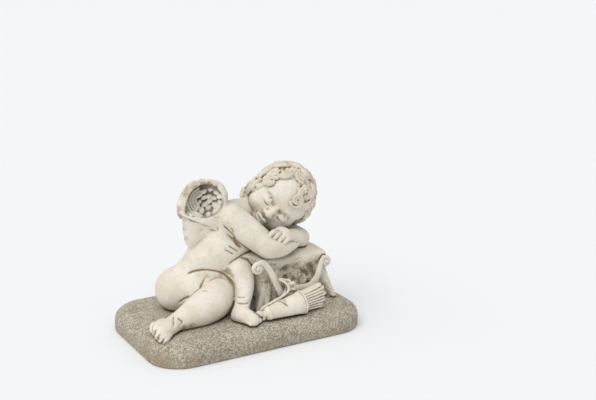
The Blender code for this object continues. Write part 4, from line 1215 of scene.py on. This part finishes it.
def without_crumbs(mesh):
    """Drops the crumbs that fusing leaves: closed shells of a few faces, loose or inside the piece."""
    ends = np.empty(len(mesh.edges) * 2, dtype=np.int64)
    mesh.edges.foreach_get("vertices", ends)
    a, b = ends.reshape(-1, 2).T
    shell = np.arange(len(mesh.vertices))
    settled = False
    while not settled:
        lower = shell.copy()
        np.minimum.at(lower, a, shell[b])
        np.minimum.at(lower, b, shell[a])
        lower = lower[lower]
        settled = bool((lower == shell).all())
        shell = lower
    crumbs = np.flatnonzero(np.bincount(shell)[shell] < CRUMB)
    bm = bmesh.new()
    bm.from_mesh(mesh)
    bm.verts.ensure_lookup_table()
    bmesh.ops.delete(bm, geom=[bm.verts[k] for k in crumbs], context="VERTS")
    bm.to_mesh(mesh)
    bm.free()


def hollows(mesh, rounds):
    """How far each vertex lies below the evened-out skin round it, in drawn millimetres."""
    co = positions(mesh)
    return np.einsum("ij,ij->i", evened(mesh, co, rounds) - co, normals(mesh))


def sky_map(mesh):
    """How much open sky each part of the casting sees, as a field from 0 to 1."""
    co = positions(mesh)
    no = normals(mesh)
    tree = BVHTree.FromPolygons(
        [vert.co for vert in mesh.vertices], [face.vertices for face in mesh.polygons]
    )
    rng = np.random.default_rng(3)
    rays = rng.normal(size=(LIGHT_RAYS, 3))
    rays /= np.linalg.norm(rays, axis=1)[:, None]
    seen = np.zeros(len(co))
    for k in range(len(co)):
        start = Vector(co[k] + no[k] * 0.8)
        facing = rays @ no[k]
        open_rays = 0
        for ray, side in zip(rays, facing):
            way = ray if side > 0 else ray - 2 * side * no[k]
            if tree.ray_cast(start, Vector(way), LIGHT_REACH)[0] is None:
                open_rays += 1
        seen[k] = open_rays / LIGHT_RAYS
    field = Field(LIGHT_CELL)
    field.add(co, seen)
    total = field.blurred(field.sum, 2)
    weight = field.blurred(field.weight, 2)
    return field, np.where(weight > 1e-4, total / np.maximum(weight, 1e-4), 1.0)


def meeting_map(skins, name):
    """Where skins other than the named one lie, as a field of how near they are, for painted shade where
    they meet.
    """
    field = Field(CONTACT_CELL)
    for other, mesh in skins.items():
        if other != name:
            share = HAIRLINE_SHARE if "curls" in (name, other) else 1.0
            field.add(positions(mesh), np.full(len(mesh.vertices), share))
    share = field.sum / np.maximum(field.weight, 1)
    return field, field.blurred(share, 1)


def smooth_step(low, high, value):
    """From 0 at low to 1 at high, smoothly."""
    t = np.clip((value - low) / (high - low), 0, 1)
    return t * t * (3 - 2 * t)


def raise_skin(mesh, height):
    """Moves each vertex out along its normal."""
    put(mesh, positions(mesh) + normals(mesh) * height[:, None])


def store(mesh, name, values):
    """Keeps a value for each vertex, for the material."""
    layer = mesh.attributes.new(name, "FLOAT", "POINT")
    layer.data.foreach_set("value", values.astype(np.float32))


def roughen_plinth(mesh):
    """Stipple all over the plinth, finer low on its sides."""
    co = positions(mesh)
    coarse_size, fine_size = PLINTH_GRAINS
    bumps, own = grains(co, coarse_size, 5)
    fine, _ = grains(co, fine_size, 21)
    low_side = smooth_step(-22, -33, co[:, 2])
    under = smooth_step(-39, -44.0, co[:, 2])
    level = (bumps * 0.85 + fine * 0.3) * (0.6 + 0.7 * own) * (1 - 0.55 * low_side)
    swell = layered(co, (26, 2, 0.5), (9, 3, 0.3))
    raise_skin(mesh, (level - 0.55 + swell * 0.8) * (1 - under))
    grain = np.clip(bumps * 0.8 + fine * 0.3 + (own - 0.5) * 0.5, 0, 1)
    store(mesh, "grain", grain * (1 - 0.3 * low_side))
    store(mesh, "rough", np.ones(len(co)))


def roughen_rock(mesh):
    """Broken stone on the rock's front, sides and back, with a smoother top."""
    co = positions(mesh)
    no = normals(mesh)
    worn = smooth_step(0.30, 0.70, no[:, 2]) * smooth_step(66, 82, co[:, 2])
    coarse_size, fine_size = ROCK_GRAINS
    bumps, own = grains(co, coarse_size, 31)
    fine, _ = grains(co, fine_size, 41)
    rough = 1 - 0.85 * worn
    patchy = smooth_step(-0.35, 0.35, noise(co, 20, 14))
    level = (bumps - 0.5) * 1.7 * (0.35 + 0.65 * patchy) + (fine - 0.5) * 0.8 + noise(co, 10, 4) * 1.0
    raise_skin(mesh, level * rough)
    grain = np.clip(bumps * 0.55 + fine * 0.5 + (own - 0.5) * 0.4, 0, 1)
    store(mesh, "grain", 1 - (1 - grain) * rough * (0.45 + 0.55 * patchy))
    store(mesh, "rough", smooth_step(0.2, 0.9, rough) * (0.35 + 0.65 * patchy))


def roughen_flesh(mesh):
    """The slight unevenness of worked and weathered stone, coarser on the wings' rims."""
    co = positions(mesh)
    rim = on_rim(co, (0.85, 1.0), (1.6, 1.35), (14, 8), (38, 30), -22)
    ragged = layered(co, (8.5, 61, 1.7), (4, 62, 0.6))
    raise_skin(mesh, layered(co, *UNEVEN["child"]) + rim * ragged)


def wing_axes(co):
    """Places across and up the nearer wing, and how high they stand over the bed of its hollow."""
    rel = co - vec(WING)
    a = rel @ WING_ACROSS
    b = rel @ WING_UP
    c = rel @ WING_OUT
    deep = bowl(a, b)
    right = c - deep
    left = -WING_GAP - c - deep
    return a, b, np.where(np.abs(right) < np.abs(left), right, left)


def on_rim(co, inner, outer, off_bed, across, low):
    """How far places belong to the wings' rims, by windows of where they lie, and none below low."""
    a, b, rise = wing_axes(co)
    reach = bowl_reach(a, b)
    ring = smooth_step(*inner, reach) * smooth_step(*outer, reach)
    return ring * smooth_step(*off_bed, np.abs(rise)) * smooth_step(*across, a) * (b > low)


def feather_shade(co):
    """Painted shade: grey between the feathers in the wings' hollows, deepest towards their outer edge."""
    a, b, rise = wing_axes(co)
    low_edge = smooth_step(-30, -20, b + a * 0.45)
    region = smooth_step(1.0, 0.86, bowl_reach(a, b)) * smooth_step(9, 6, np.abs(rise)) * low_edge
    between = smooth_step(4.2, 1.2, rise)
    broad = 0.22 * smooth_step(15, -18, a) + 0.12
    outer = 0.78 + 0.22 * smooth_step(20, -15, a)
    return np.clip(region * (broad + 0.9 * between) * outer, 0, 1)


def stained(co):
    """How brown each place is: blots, the wings' rims and the marks across the quiver."""
    out = np.zeros(len(co))
    ragged = layered(co, (6, 51, 0.5), (2.5, 52, 0.4))
    for place, radius, strength in STAINS:
        d = np.linalg.norm(co - vec(place), axis=1) / radius
        out = np.maximum(out, strength * smooth_step(1.0, 0.55, d + ragged * 0.5))
    rim = on_rim(co, (0.85, 0.98), (1.32, 1.1), (12, 7), (40, 25), -16)
    out = np.maximum(out, rim * (0.30 + 0.45 * noise(co, 7, 91)))
    for line, width in BANDS:
        d = reach_to(co, spline(line, 12)) / width
        out = np.maximum(out, smooth_step(1.0, 0.6, d + ragged * 0.3))
    return out


def weather_and_shade(name, mesh, skins, sky):
    """Stores what the material needs to know of each place: its hollows and edges, its sky, where it meets
    other pieces and its stains; from these come dirt, stains, painted shade and painted highlight.
    """
    co = positions(mesh)
    no = normals(mesh)
    fine = hollows(mesh, FINE_ROUNDS) * FINE_HOLLOW[name]
    broad = hollows(mesh, BROAD_ROUNDS) * BROAD_HOLLOW[name]
    # Dirt and painted shade: darker in the small and in the wide hollows.
    dirt_and_shade = smooth_step(0.05, 0.42, fine) * 0.8 + smooth_step(0.25, 1.6, broad) * 0.6
    field, grid = meeting_map(skins, name)
    sky_field, sky_grid = sky
    store(mesh, "hollow", np.clip(dirt_and_shade, 0, 1))
    store(mesh, "edge", smooth_step(0.05, 0.5, -fine))
    store(mesh, "meets", smooth_step(0.03, 0.34, field.read(grid, co + no * 1.5)))
    store(mesh, "sky", np.clip(sky_field.read(sky_grid, co + no * 2.0), 0, 1))
    store(mesh, "stain", stained(co))


def to_metres(mesh):
    """From drawn millimetres above the plinth's top to the frame's metres."""
    mesh.transform(Matrix.Translation((0, 0, PLINTH_HEIGHT)) @ Matrix.Scale(DRAWN_SCALE, 4))
    mesh.update()


def cut_level(mesh):
    """Cuts the plinth flat at its underside."""
    bm = bmesh.new()
    bm.from_mesh(mesh)
    cut = bmesh.ops.bisect_plane(
        bm, geom=bm.verts[:] + bm.edges[:] + bm.faces[:], dist=1e-7,
        plane_co=(0, 0, 0), plane_no=(0, 0, 1), clear_inner=True,
    )
    rim = [item for item in cut["geom_cut"] if isinstance(item, bmesh.types.BMEdge)]
    bmesh.ops.contextual_create(bm, geom=rim)
    bmesh.ops.triangulate(bm, faces=[face for face in bm.faces if len(face.verts) > 4])
    bm.to_mesh(mesh)
    bm.free()


def carved_skins():
    """The casting as fine skins, each closed, that sink into each other where they meet."""
    head = head_mass()
    curls = hair(head)
    limbs = Clay()
    hands(limbs)
    feet(limbs)
    emblems = Clay()
    bow(emblems)
    quiver(emblems)
    wings = joined(wing(1), wing(-1))
    trunk = body_masses()
    wing_skin = positions(wings)
    trunk_skin = positions(trunk)
    shapes = {
        "child": joined(trunk, *near_limbs(), limbs.mesh(), face_features(head), wings),
        "curls": curls.mesh(),
        "rock": rock(),
        "emblems": emblems.mesh(),
        "plinth": plinth_block(),
    }
    whole = fused(joined(*[mesh.copy() for mesh in shapes.values()]), LIGHT_VOXEL, 1)
    skins = {}
    for name, mesh in shapes.items():
        voxel, rounds = SKINS[name]
        skins[name] = fused(mesh, voxel * COARSE, rounds)
    blend_wings(skins["child"], wing_skin, trunk_skin)
    carve_child(skins["child"])
    carve_rock(skins["rock"])
    return whole, skins


def tree_of(places):
    """A tree that finds the nearest of the places."""
    tree = KDTree(len(places))
    for k, place in enumerate(places):
        tree.insert(place, k)
    tree.balance()
    return tree


def blend_wings(skin, wing_skin, trunk_skin):
    """Softens the line where the wings grow out of the back."""
    co = positions(skin)
    near = np.where(np.all((co > wing_skin.min(0) - BLEND) & (co < wing_skin.max(0) + BLEND), axis=1))[0]
    wing_tree = tree_of(wing_skin[::3])
    trunk_tree = tree_of(trunk_skin)
    weight = np.zeros(len(co))
    for k in near:
        away = max(wing_tree.find(co[k])[2], trunk_tree.find(co[k])[2])
        weight[k] = min(max(1.6 * (1 - away / BLEND), 0), 1)
    for side in (1, -1):
        lip = [wing_point(*p, side) for p in LIP]
        weight *= smooth_step(3, 8, reach_to(co, lip))
    put(skin, evened(skin, co, BLEND_ROUNDS, weight))


def evened(mesh, values, rounds, weight=None):
    """Values at the vertices, averaged with those of their neighbours round after round."""
    ends = np.empty(len(mesh.edges) * 2, dtype=np.int64)
    mesh.edges.foreach_get("vertices", ends)
    a, b = ends.reshape(-1, 2).T
    count = np.maximum(np.bincount(np.concatenate([a, b]), minlength=len(values)), 1).astype(float)
    values = values.copy()
    columns = values.reshape(len(values), -1)
    share = 0.5 if weight is None else 0.5 * weight[:, None]
    for _ in range(rounds):
        total = np.stack([
            np.bincount(a, column[b], len(values)) + np.bincount(b, column[a], len(values))
            for column in columns.T
        ], axis=1)
        columns += (total / count[:, None] - columns) * share
    return values


def carve_child(skin):
    """Presses the creases in and stores how much brown dirt each place of them holds."""
    marks = np.zeros(len(skin.vertices))
    for points, width, depth in CREASES:
        groove(skin, points, width * CREASE_SPREAD, depth * CREASE_SINK, way=FRONT)
        near, fall = groove(skin, points, width, depth, way=FRONT)
        marks[near] = np.maximum(marks[near], fall * min(depth / FULL_DIRT_DEPTH, 1))
    for (a, _), (b, _) in zip(RIGHT_TOES[:-1], RIGHT_TOES[1:]):
        gap = (vec(a) + vec(b)) / 2
        line = [gap + vec((5, 2, 6)), gap + vec((-1, -2, 3)), gap + vec((-5, -4, -2))]
        near, fall = groove(skin, line, 2.3, 1.3, False)
        marks[near] = np.maximum(marks[near], fall)
    for points, width, depth in BACK_CREASES:
        groove(skin, points, width, depth, way=BACK)
    store(skin, "crease", marks)


def carve_rock(skin):
    """Presses the hollows and the flutes into the rock's front."""
    for centre, radius, depth in HOLLOWS:
        dent(skin, centre, (radius, radius * 1.4, radius), (0, depth, 0))
    for points, width, depth in FLUTES:
        groove(skin, points, width, depth, way=FRONT)


def linear(red, green, blue):
    """A colour given as screen values from 0 to 255."""
    return tuple((value / 255) ** 2.2 for value in (red, green, blue)) + (1.0,)


class Nodes:
    """Short ways to write a material's nodes."""

    def __init__(self, material):
        material.use_nodes = True
        self.tree = material.node_tree
        self.shader = self.tree.nodes["Principled BSDF"]
        self.coords = self.tree.nodes.new("ShaderNodeTexCoord").outputs["Object"]

    def feed(self, socket, value):
        """Sets an input to a value or links it to another node's output."""
        if isinstance(value, bpy.types.NodeSocket):
            self.tree.links.new(value, socket)
        else:
            socket.default_value = value

    def add(self, kind, inputs, **settings):
        """A new node with its inputs and its settings."""
        node = self.tree.nodes.new("ShaderNode" + kind)
        for name, value in settings.items():
            setattr(node, name, value)
        for name, value in inputs.items():
            self.feed(node.inputs[name], value)
        return node

    def noise(self, scale, detail, rough):
        inputs = {"Scale": scale, "Detail": detail, "Roughness": rough, "Vector": self.coords}
        return self.add("TexNoise", inputs).outputs["Fac"]

    def dots(self, scale):
        """Scattered dots: how far each place is from one, and that one's own value."""
        node = self.add("TexVoronoi", {"Scale": scale, "Randomness": 1.0, "Vector": self.coords})
        return node.outputs["Distance"], node.outputs["Color"]

    def attribute(self, name):
        return self.add("Attribute", {}, attribute_name=name).outputs["Fac"]

    def window(self, value, low, high, start=0.0, end=1.0):
        """The value carried from low..high to start..end, smoothly."""
        inputs = {"Value": value, "From Min": low, "From Max": high, "To Min": start, "To Max": end}
        return self.add("MapRange", inputs, interpolation_type="SMOOTHSTEP").outputs["Result"]

    def patches(self, scale, detail, low, high, start=0.0, end=1.0, rough=0.55):
        """Noise carried from low..high to start..end."""
        return self.window(self.noise(scale, detail, rough), low, high, start, end)

    def times(self, a, b):
        return self.math("MULTIPLY", a, b)

    def coat(self, tint, amount, share=1.0):
        """Lays a tint over the colour so far, by a share of an amount from 0 to 1."""
        if share < 1.0:
            amount = self.times(amount, share)
        self.colour = self.mix(amount, self.colour, linear(*tint))

    def math(self, kind, a, b):
        node = self.add("Math", {}, operation=kind, use_clamp=True)
        for socket, value in zip(node.inputs, (a, b)):
            self.feed(socket, value)
        return node.outputs["Value"]

    def mix(self, factor, a, b):
        node = self.add("Mix", {"Factor": factor}, data_type="RGBA")
        colours = [socket for socket in node.inputs if socket.type == "RGBA"]
        for socket, value in zip(colours, (a, b)):
            self.feed(socket, value)
        return next(socket for socket in node.outputs if socket.type == "RGBA")

    def bump(self, height, distance, strength, under=None):
        node = self.add("Bump", {"Distance": distance, "Strength": strength, "Height": height})
        if under is not None:
            self.feed(node.inputs["Normal"], under)
        return node.outputs["Normal"]


def cast_stone(name, light, warm, grey, dirt_and_shade, dirt_and_shade_share=0.85, speckles=0.35, grain=0.0,
               gaps=None, tips=None, height=0.0003):
    """Pale mottled cast stone, with painted shade where it sees little sky, brown dirt and painted shade in
    its hollows, painted shade between the wing feathers and where pieces meet, and speckles.
    """
    material = bpy.data.materials.new(name)
    n = Nodes(material)
    n.colour = n.mix(n.patches(26, 4, 0.36, 0.66), linear(*light), linear(*warm))
    n.coat(grey, n.patches(150, 5, 0.46, 0.78, 0.0, 0.5, rough=0.7))
    # Painted shade: greyer where the casting sees little open sky.
    shaded = n.window(n.attribute("sky"), 0.72, 0.18, 0.0, 0.9)
    n.coat(grey, n.times(shaded, n.patches(60, 4, 0.2, 0.55, 0.4)))
    if grain:
        # Grain: the stone's own tone from grain to grain, with painted shade in the gaps between the raised
        # grains and a painted highlight on their tops and on scattered dots.
        n.coat(gaps, n.window(n.attribute("grain"), 0.10, 0.44, grain * 0.7, 0.0))
        distance, own = n.dots(440)
        fleck = n.times(n.window(distance, 0.40, 0.62), n.patches(120, 3, 0.3, 0.6, 0.4))
        n.coat(gaps, n.times(fleck, n.attribute("rough")), grain * 0.7)
        n.coat(tips, n.times(n.window(distance, 0.36, 0.14), n.window(own, 0.35, 0.6)), grain * 0.8)
        tops = n.window(n.attribute("grain"), 0.46, 0.74)
        n.coat(tips, n.times(tops, n.patches(90, 3, 0.3, 0.6, 0.35)), grain * 0.6)
    # Lighter on raised edges and ridges: worn stone, and a painted highlight.
    n.coat(light, n.times(n.attribute("edge"), n.patches(60, 3, 0.3, 0.6, 0.3)), 0.5)
    # Painted shade between the feathers in the wings' hollows.
    feather_shade_mask = n.attribute("feather_shade_mask")
    n.coat(FEATHER_SHADE_GREY, n.times(feather_shade_mask, n.patches(80, 3, 0.2, 0.5, 0.8)))
    # Brown in the hollows: dirt, and painted shade in the wide hollows.
    hollow = n.times(n.attribute("hollow"), n.patches(85, 4, 0.22, 0.55, 0.4))
    hollow = n.times(hollow, n.math("SUBTRACT", 1.0, feather_shade_mask))
    n.coat(dirt_and_shade, n.times(hollow, dirt_and_shade_share))
    crease = n.window(n.attribute("crease"), 0.34, 1.0)
    n.coat(CREASE_BROWN, n.times(crease, n.patches(110, 4, 0.3, 0.6, 0.25, 0.95)), 0.9)
    # Painted shade where this piece meets the others.
    n.coat(CONTACT_SHADE_BROWN, n.times(n.attribute("meets"), n.patches(70, 4, 0.15, 0.5, 0.6)), 0.8)
    distance, own = n.dots(430)
    marks = n.times(n.window(distance, 0.36, 0.14), n.window(own, 0.5, 0.75))
    marks = n.times(n.times(marks, n.patches(38, 3, 0.42, 0.62, 0.1)), speckles)
    n.coat(dirt_and_shade, marks)
    n.coat(STAIN_BROWN, n.times(n.attribute("stain"), n.patches(210, 4, 0.3, 0.6, 0.5)))
    n.feed(n.shader.inputs["Base Color"], n.colour)
    n.shader.inputs["Roughness"].default_value = 0.88
    n.shader.inputs["Specular IOR Level"].default_value = 0.25
    fine = n.bump(n.noise(700, 4, 0.65), height, 0.6)
    pitted = n.bump(n.math("SUBTRACT", 1.0, marks), 0.0005, 0.3, under=fine)
    n.feed(n.shader.inputs["Normal"], pitted)
    return material


def dress(name, mesh, material):
    """Makes a finished piece of the statue from its mesh."""
    piece = placed(name, mesh)
    mesh.materials.append(material)
    mesh.shade_smooth()
    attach(piece, "root")
    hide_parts(NODE)


def statue():
    """Carves, roughens, weathers and dresses the casting, and paints shade and highlight into its colour."""
    whole, skins = carved_skins()
    sky = sky_map(whole)
    bpy.data.meshes.remove(whole)
    roughen_plinth(skins["plinth"])
    roughen_rock(skins["rock"])
    roughen_flesh(skins["child"])
    for name in ("curls", "emblems"):
        raise_skin(skins[name], layered(positions(skins[name]), *UNEVEN[name]))
    store(skins["child"], "feather_shade_mask", feather_shade(positions(skins["child"])))
    for name, mesh in skins.items():
        weather_and_shade(name, mesh, skins, sky)
    stones = {name: cast_stone(name, **look) for name, look in STONES.items()}
    for name, mesh in skins.items():
        if name == "plinth":
            to_metres(mesh)
            cut_level(mesh)
            mesh = thinned(mesh, MOST_TRIANGLES)
        else:
            mesh = thinned(mesh, MOST_TRIANGLES)
            to_metres(mesh)
        without_crumbs(mesh)
        piece, stone = PIECES[name]
        dress(piece, mesh, stones[stone])


def studio():
    """A pale floor under a broad soft light from above and a light sky."""
    floor = bpy.data.meshes.new("floor")
    bm = bmesh.new()
    bmesh.ops.create_grid(bm, x_segments=1, y_segments=1, size=FLOOR_SIZE)
    bm.to_mesh(floor)
    bm.free()
    ground = placed("studio_floor", floor)
    paper = bpy.data.materials.new("pale_floor")
    paper.use_nodes = True
    shader = paper.node_tree.nodes["Principled BSDF"]
    shader.inputs["Base Color"].default_value = FLOOR_COLOUR
    shader.inputs["Roughness"].default_value = 0.9
    shader.inputs["Specular IOR Level"].default_value = 0.1
    floor.materials.append(paper)
    for name, way, energy, spread in LAMPS:
        lamp = bpy.data.lights.new(name, "SUN")
        lamp.energy = energy
        lamp.angle = math.radians(spread)
        holder = placed(name, lamp)
        holder.rotation_euler = Vector(way).to_track_quat("-Z", "Y").to_euler()
    world = bpy.data.worlds.new("studio")
    world.use_nodes = True
    sky = world.node_tree.nodes["Background"]
    sky.inputs["Color"].default_value = SKY_COLOUR
    sky.inputs["Strength"].default_value = SKY_POWER
    bpy.context.scene.world = world
    bpy.context.scene.view_settings.view_transform = "Standard"


def camera():
    """The photo's point of view."""
    lens = bpy.data.cameras.new("photo_camera")
    lens.lens = CAMERA_LENS
    lens.sensor_width = CAMERA_SENSOR
    holder = placed("photo_camera", lens)
    holder.location = CAMERA_PLACE
    holder.rotation_euler = [math.radians(degrees) for degrees in CAMERA_TURN]
    bpy.context.scene.camera = holder


camera()
studio()
statue()
